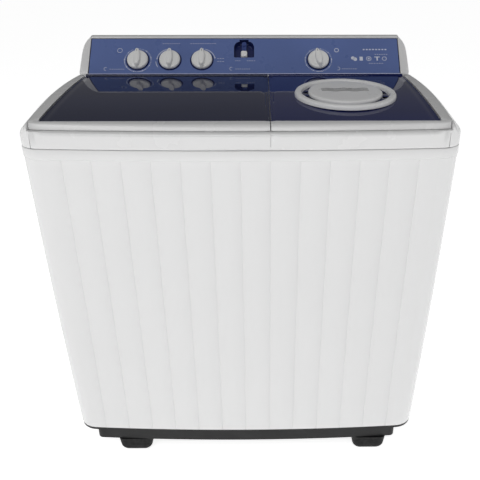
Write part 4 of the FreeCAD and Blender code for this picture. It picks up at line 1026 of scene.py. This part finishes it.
# ------------------------------------------------------------------ base
def build_feet():
    """Tapered moulded feet under the plinth."""
    parts = []
    layers = ((4.0, 60, 42), (4.6, 67, 49), (7.0, 74, 56), (11.0, 79, 61), (17.0, 84, 65.5), (30.0, 87, 69),
              (48.0, 90.5, 73.2), (49.9, 91, 74))
    for x in FOOT_XS:
        for y in FOOT_YS:
            rows = []
            for z, w, d in layers:
                outline = rounded_rect(x - w / 2, x + w / 2, y - d / 2, y + d / 2, 15.0, 6)
                rows.append([(a, b, z) for a, b in outline])
            parts.append(skin(rows, cap_first=True, cap_last=True))
    verts, faces = join(*parts)
    black = MATERIALS["foot_rubber"]
    return make("feet_moulded", verts, faces, "black_plastic", "cabinet", ("feet",), black, 50)


# ------------------------------------------------------------------ CAD nodes that stay
SOFT_EDGES = {"rear_cover": 0.8, "base_pan": 2.0, "wash_tub": 0.8, "drain_tub": 0.8,
              "motor_bracket": 0.6, "lint_filter": 0.6, "wash_timer": 1.0, "press_lid": 0.6,
              "capacitor": 0.8}


def dress_cad_nodes():
    for row in frame["record"]["subparts"]:
        node = frame["nodes"][row["node"]]
        if node.hide_render:
            continue
        material = MATERIALS[row["material_slot"]]
        if not node.data.materials:
            node.data.materials.append(material)
        for slot in node.material_slots:
            slot.material = material
        if row["node"] in SOFT_EDGES:
            bevelled(node, SOFT_EDGES[row["node"]], 2, 40)


# ------------------------------------------------------------------ camera, light and floor
def build_camera():
    data = bpy.data.cameras.new("camera")
    camera = bpy.data.objects.new("camera", data)
    bpy.context.scene.collection.objects.link(camera)
    camera.location = (0.0404, -1.4417, 1.2356)
    camera.rotation_euler = (math.radians(90 - 25.89), 0.0, math.radians(-0.5))
    data.lens = 44.59
    data.sensor_width = 36.0
    data.shift_x = -0.0527
    data.shift_y = -0.0044
    data.clip_start = 0.05
    data.clip_end = 60.0
    bpy.context.scene.camera = camera


def area_light(name, place, aim, size, power, colour=(1.0, 1.0, 1.0)):
    data = bpy.data.lights.new(name, "AREA")
    data.shape = "RECTANGLE"
    data.size, data.size_y = size
    data.energy = power
    data.color = colour
    light = bpy.data.objects.new(name, data)
    bpy.context.scene.collection.objects.link(light)
    light.location = place
    light.rotation_euler = (Vector(aim) - Vector(place)).to_track_quat("-Z", "Y").to_euler()
    return light


def build_lights():
    area_light("high_front", (-0.6, -2.9, 3.3), (0.0, 0.0, 0.7), (3.2, 2.2), 48.5)
    area_light("left_soft", (-3.0, -0.6, 1.5), (0.0, 0.0, 0.6), (1.6, 1.8), 7.0)
    area_light("right_soft", (3.0, -0.4, 1.5), (0.0, 0.0, 0.6), (1.6, 1.8), 9.0)
    world = bpy.data.worlds.new("studio")
    world.use_nodes = True
    background = world.node_tree.nodes["Background"]
    background.inputs["Color"].default_value = (1.0, 1.0, 1.0, 1.0)
    background.inputs["Strength"].default_value = 0.17
    bpy.context.scene.world = world
    bpy.context.scene.view_settings.view_transform = "Standard"


def build_floor():
    material, nodes, links, shader = new_material("studio_floor")
    tint(nodes, links, noise(nodes, links, 0.8), (0.93, 0.93, 0.93), 0.005, shader.inputs["Base Color"])
    shader.inputs["Roughness"].default_value = 0.9
    shader.inputs["Specular IOR Level"].default_value = 0.1
    shader.inputs["Emission Color"].default_value = (1.0, 1.0, 1.0, 1.0)
    shader.inputs["Emission Strength"].default_value = 0.82
    reach, level = 20000.0, -0.5
    verts = [(reach * a, reach * b, level) for a, b in ((-1, -1), (1, -1), (1, 1), (-1, 1))]
    mesh = bpy.data.meshes.new("floor")
    mesh.from_pydata([[c * MM for c in v] for v in verts], [], [(0, 1, 2, 3)])
    floor = bpy.data.objects.new("floor", mesh)
    bpy.context.scene.collection.objects.link(floor)
    mesh.materials.append(material)


# ------------------------------------------------------------------ make everything
build_camera()
build_cabinet()
build_deck()
build_lid("wash_lid_clear", "wash_lid_panel", "wash_lid", "lid_smoke", -LID_X, SPLIT_X - LID_GAP)
build_lid("spin_lid_clear", "spin_lid_panel", "spin_lid", "lid_blue", SPLIT_X + LID_GAP, LID_X, 98.0)
build_handle("wash_lid_grip", "wash_lid_handle", "wash_lid", -429.6, SPLIT_X - LID_GAP)
build_handle("spin_lid_grip", "spin_lid_handle", "spin_lid", SPLIT_X + LID_GAP, 429.6)
build_vent()
airflow_mark()
build_housing()
build_cap("cap_left", "end_cap_left", -1)
build_cap("cap_right", "end_cap_right", 1)
build_fascia()
build_lever_guide()
build_lever()
build_knob("knob_wash_timer", "wash_timer_knob", "wash_timer_dial", KNOB_XS["wash_timer"], 0.0)
build_knob("knob_wash_mode", "wash_mode_knob", "wash_mode_dial", KNOB_XS["wash_mode"], 0.0)
build_knob("knob_drain", "drain_knob", "drain_dial", KNOB_XS["drain"], 0.0)
build_knob("knob_spin_timer", "spin_timer_knob", "spin_timer_dial", KNOB_XS["spin_timer"], 11.0)
build_marks()
build_feet()
dress_cad_nodes()
build_lights()
build_floor()
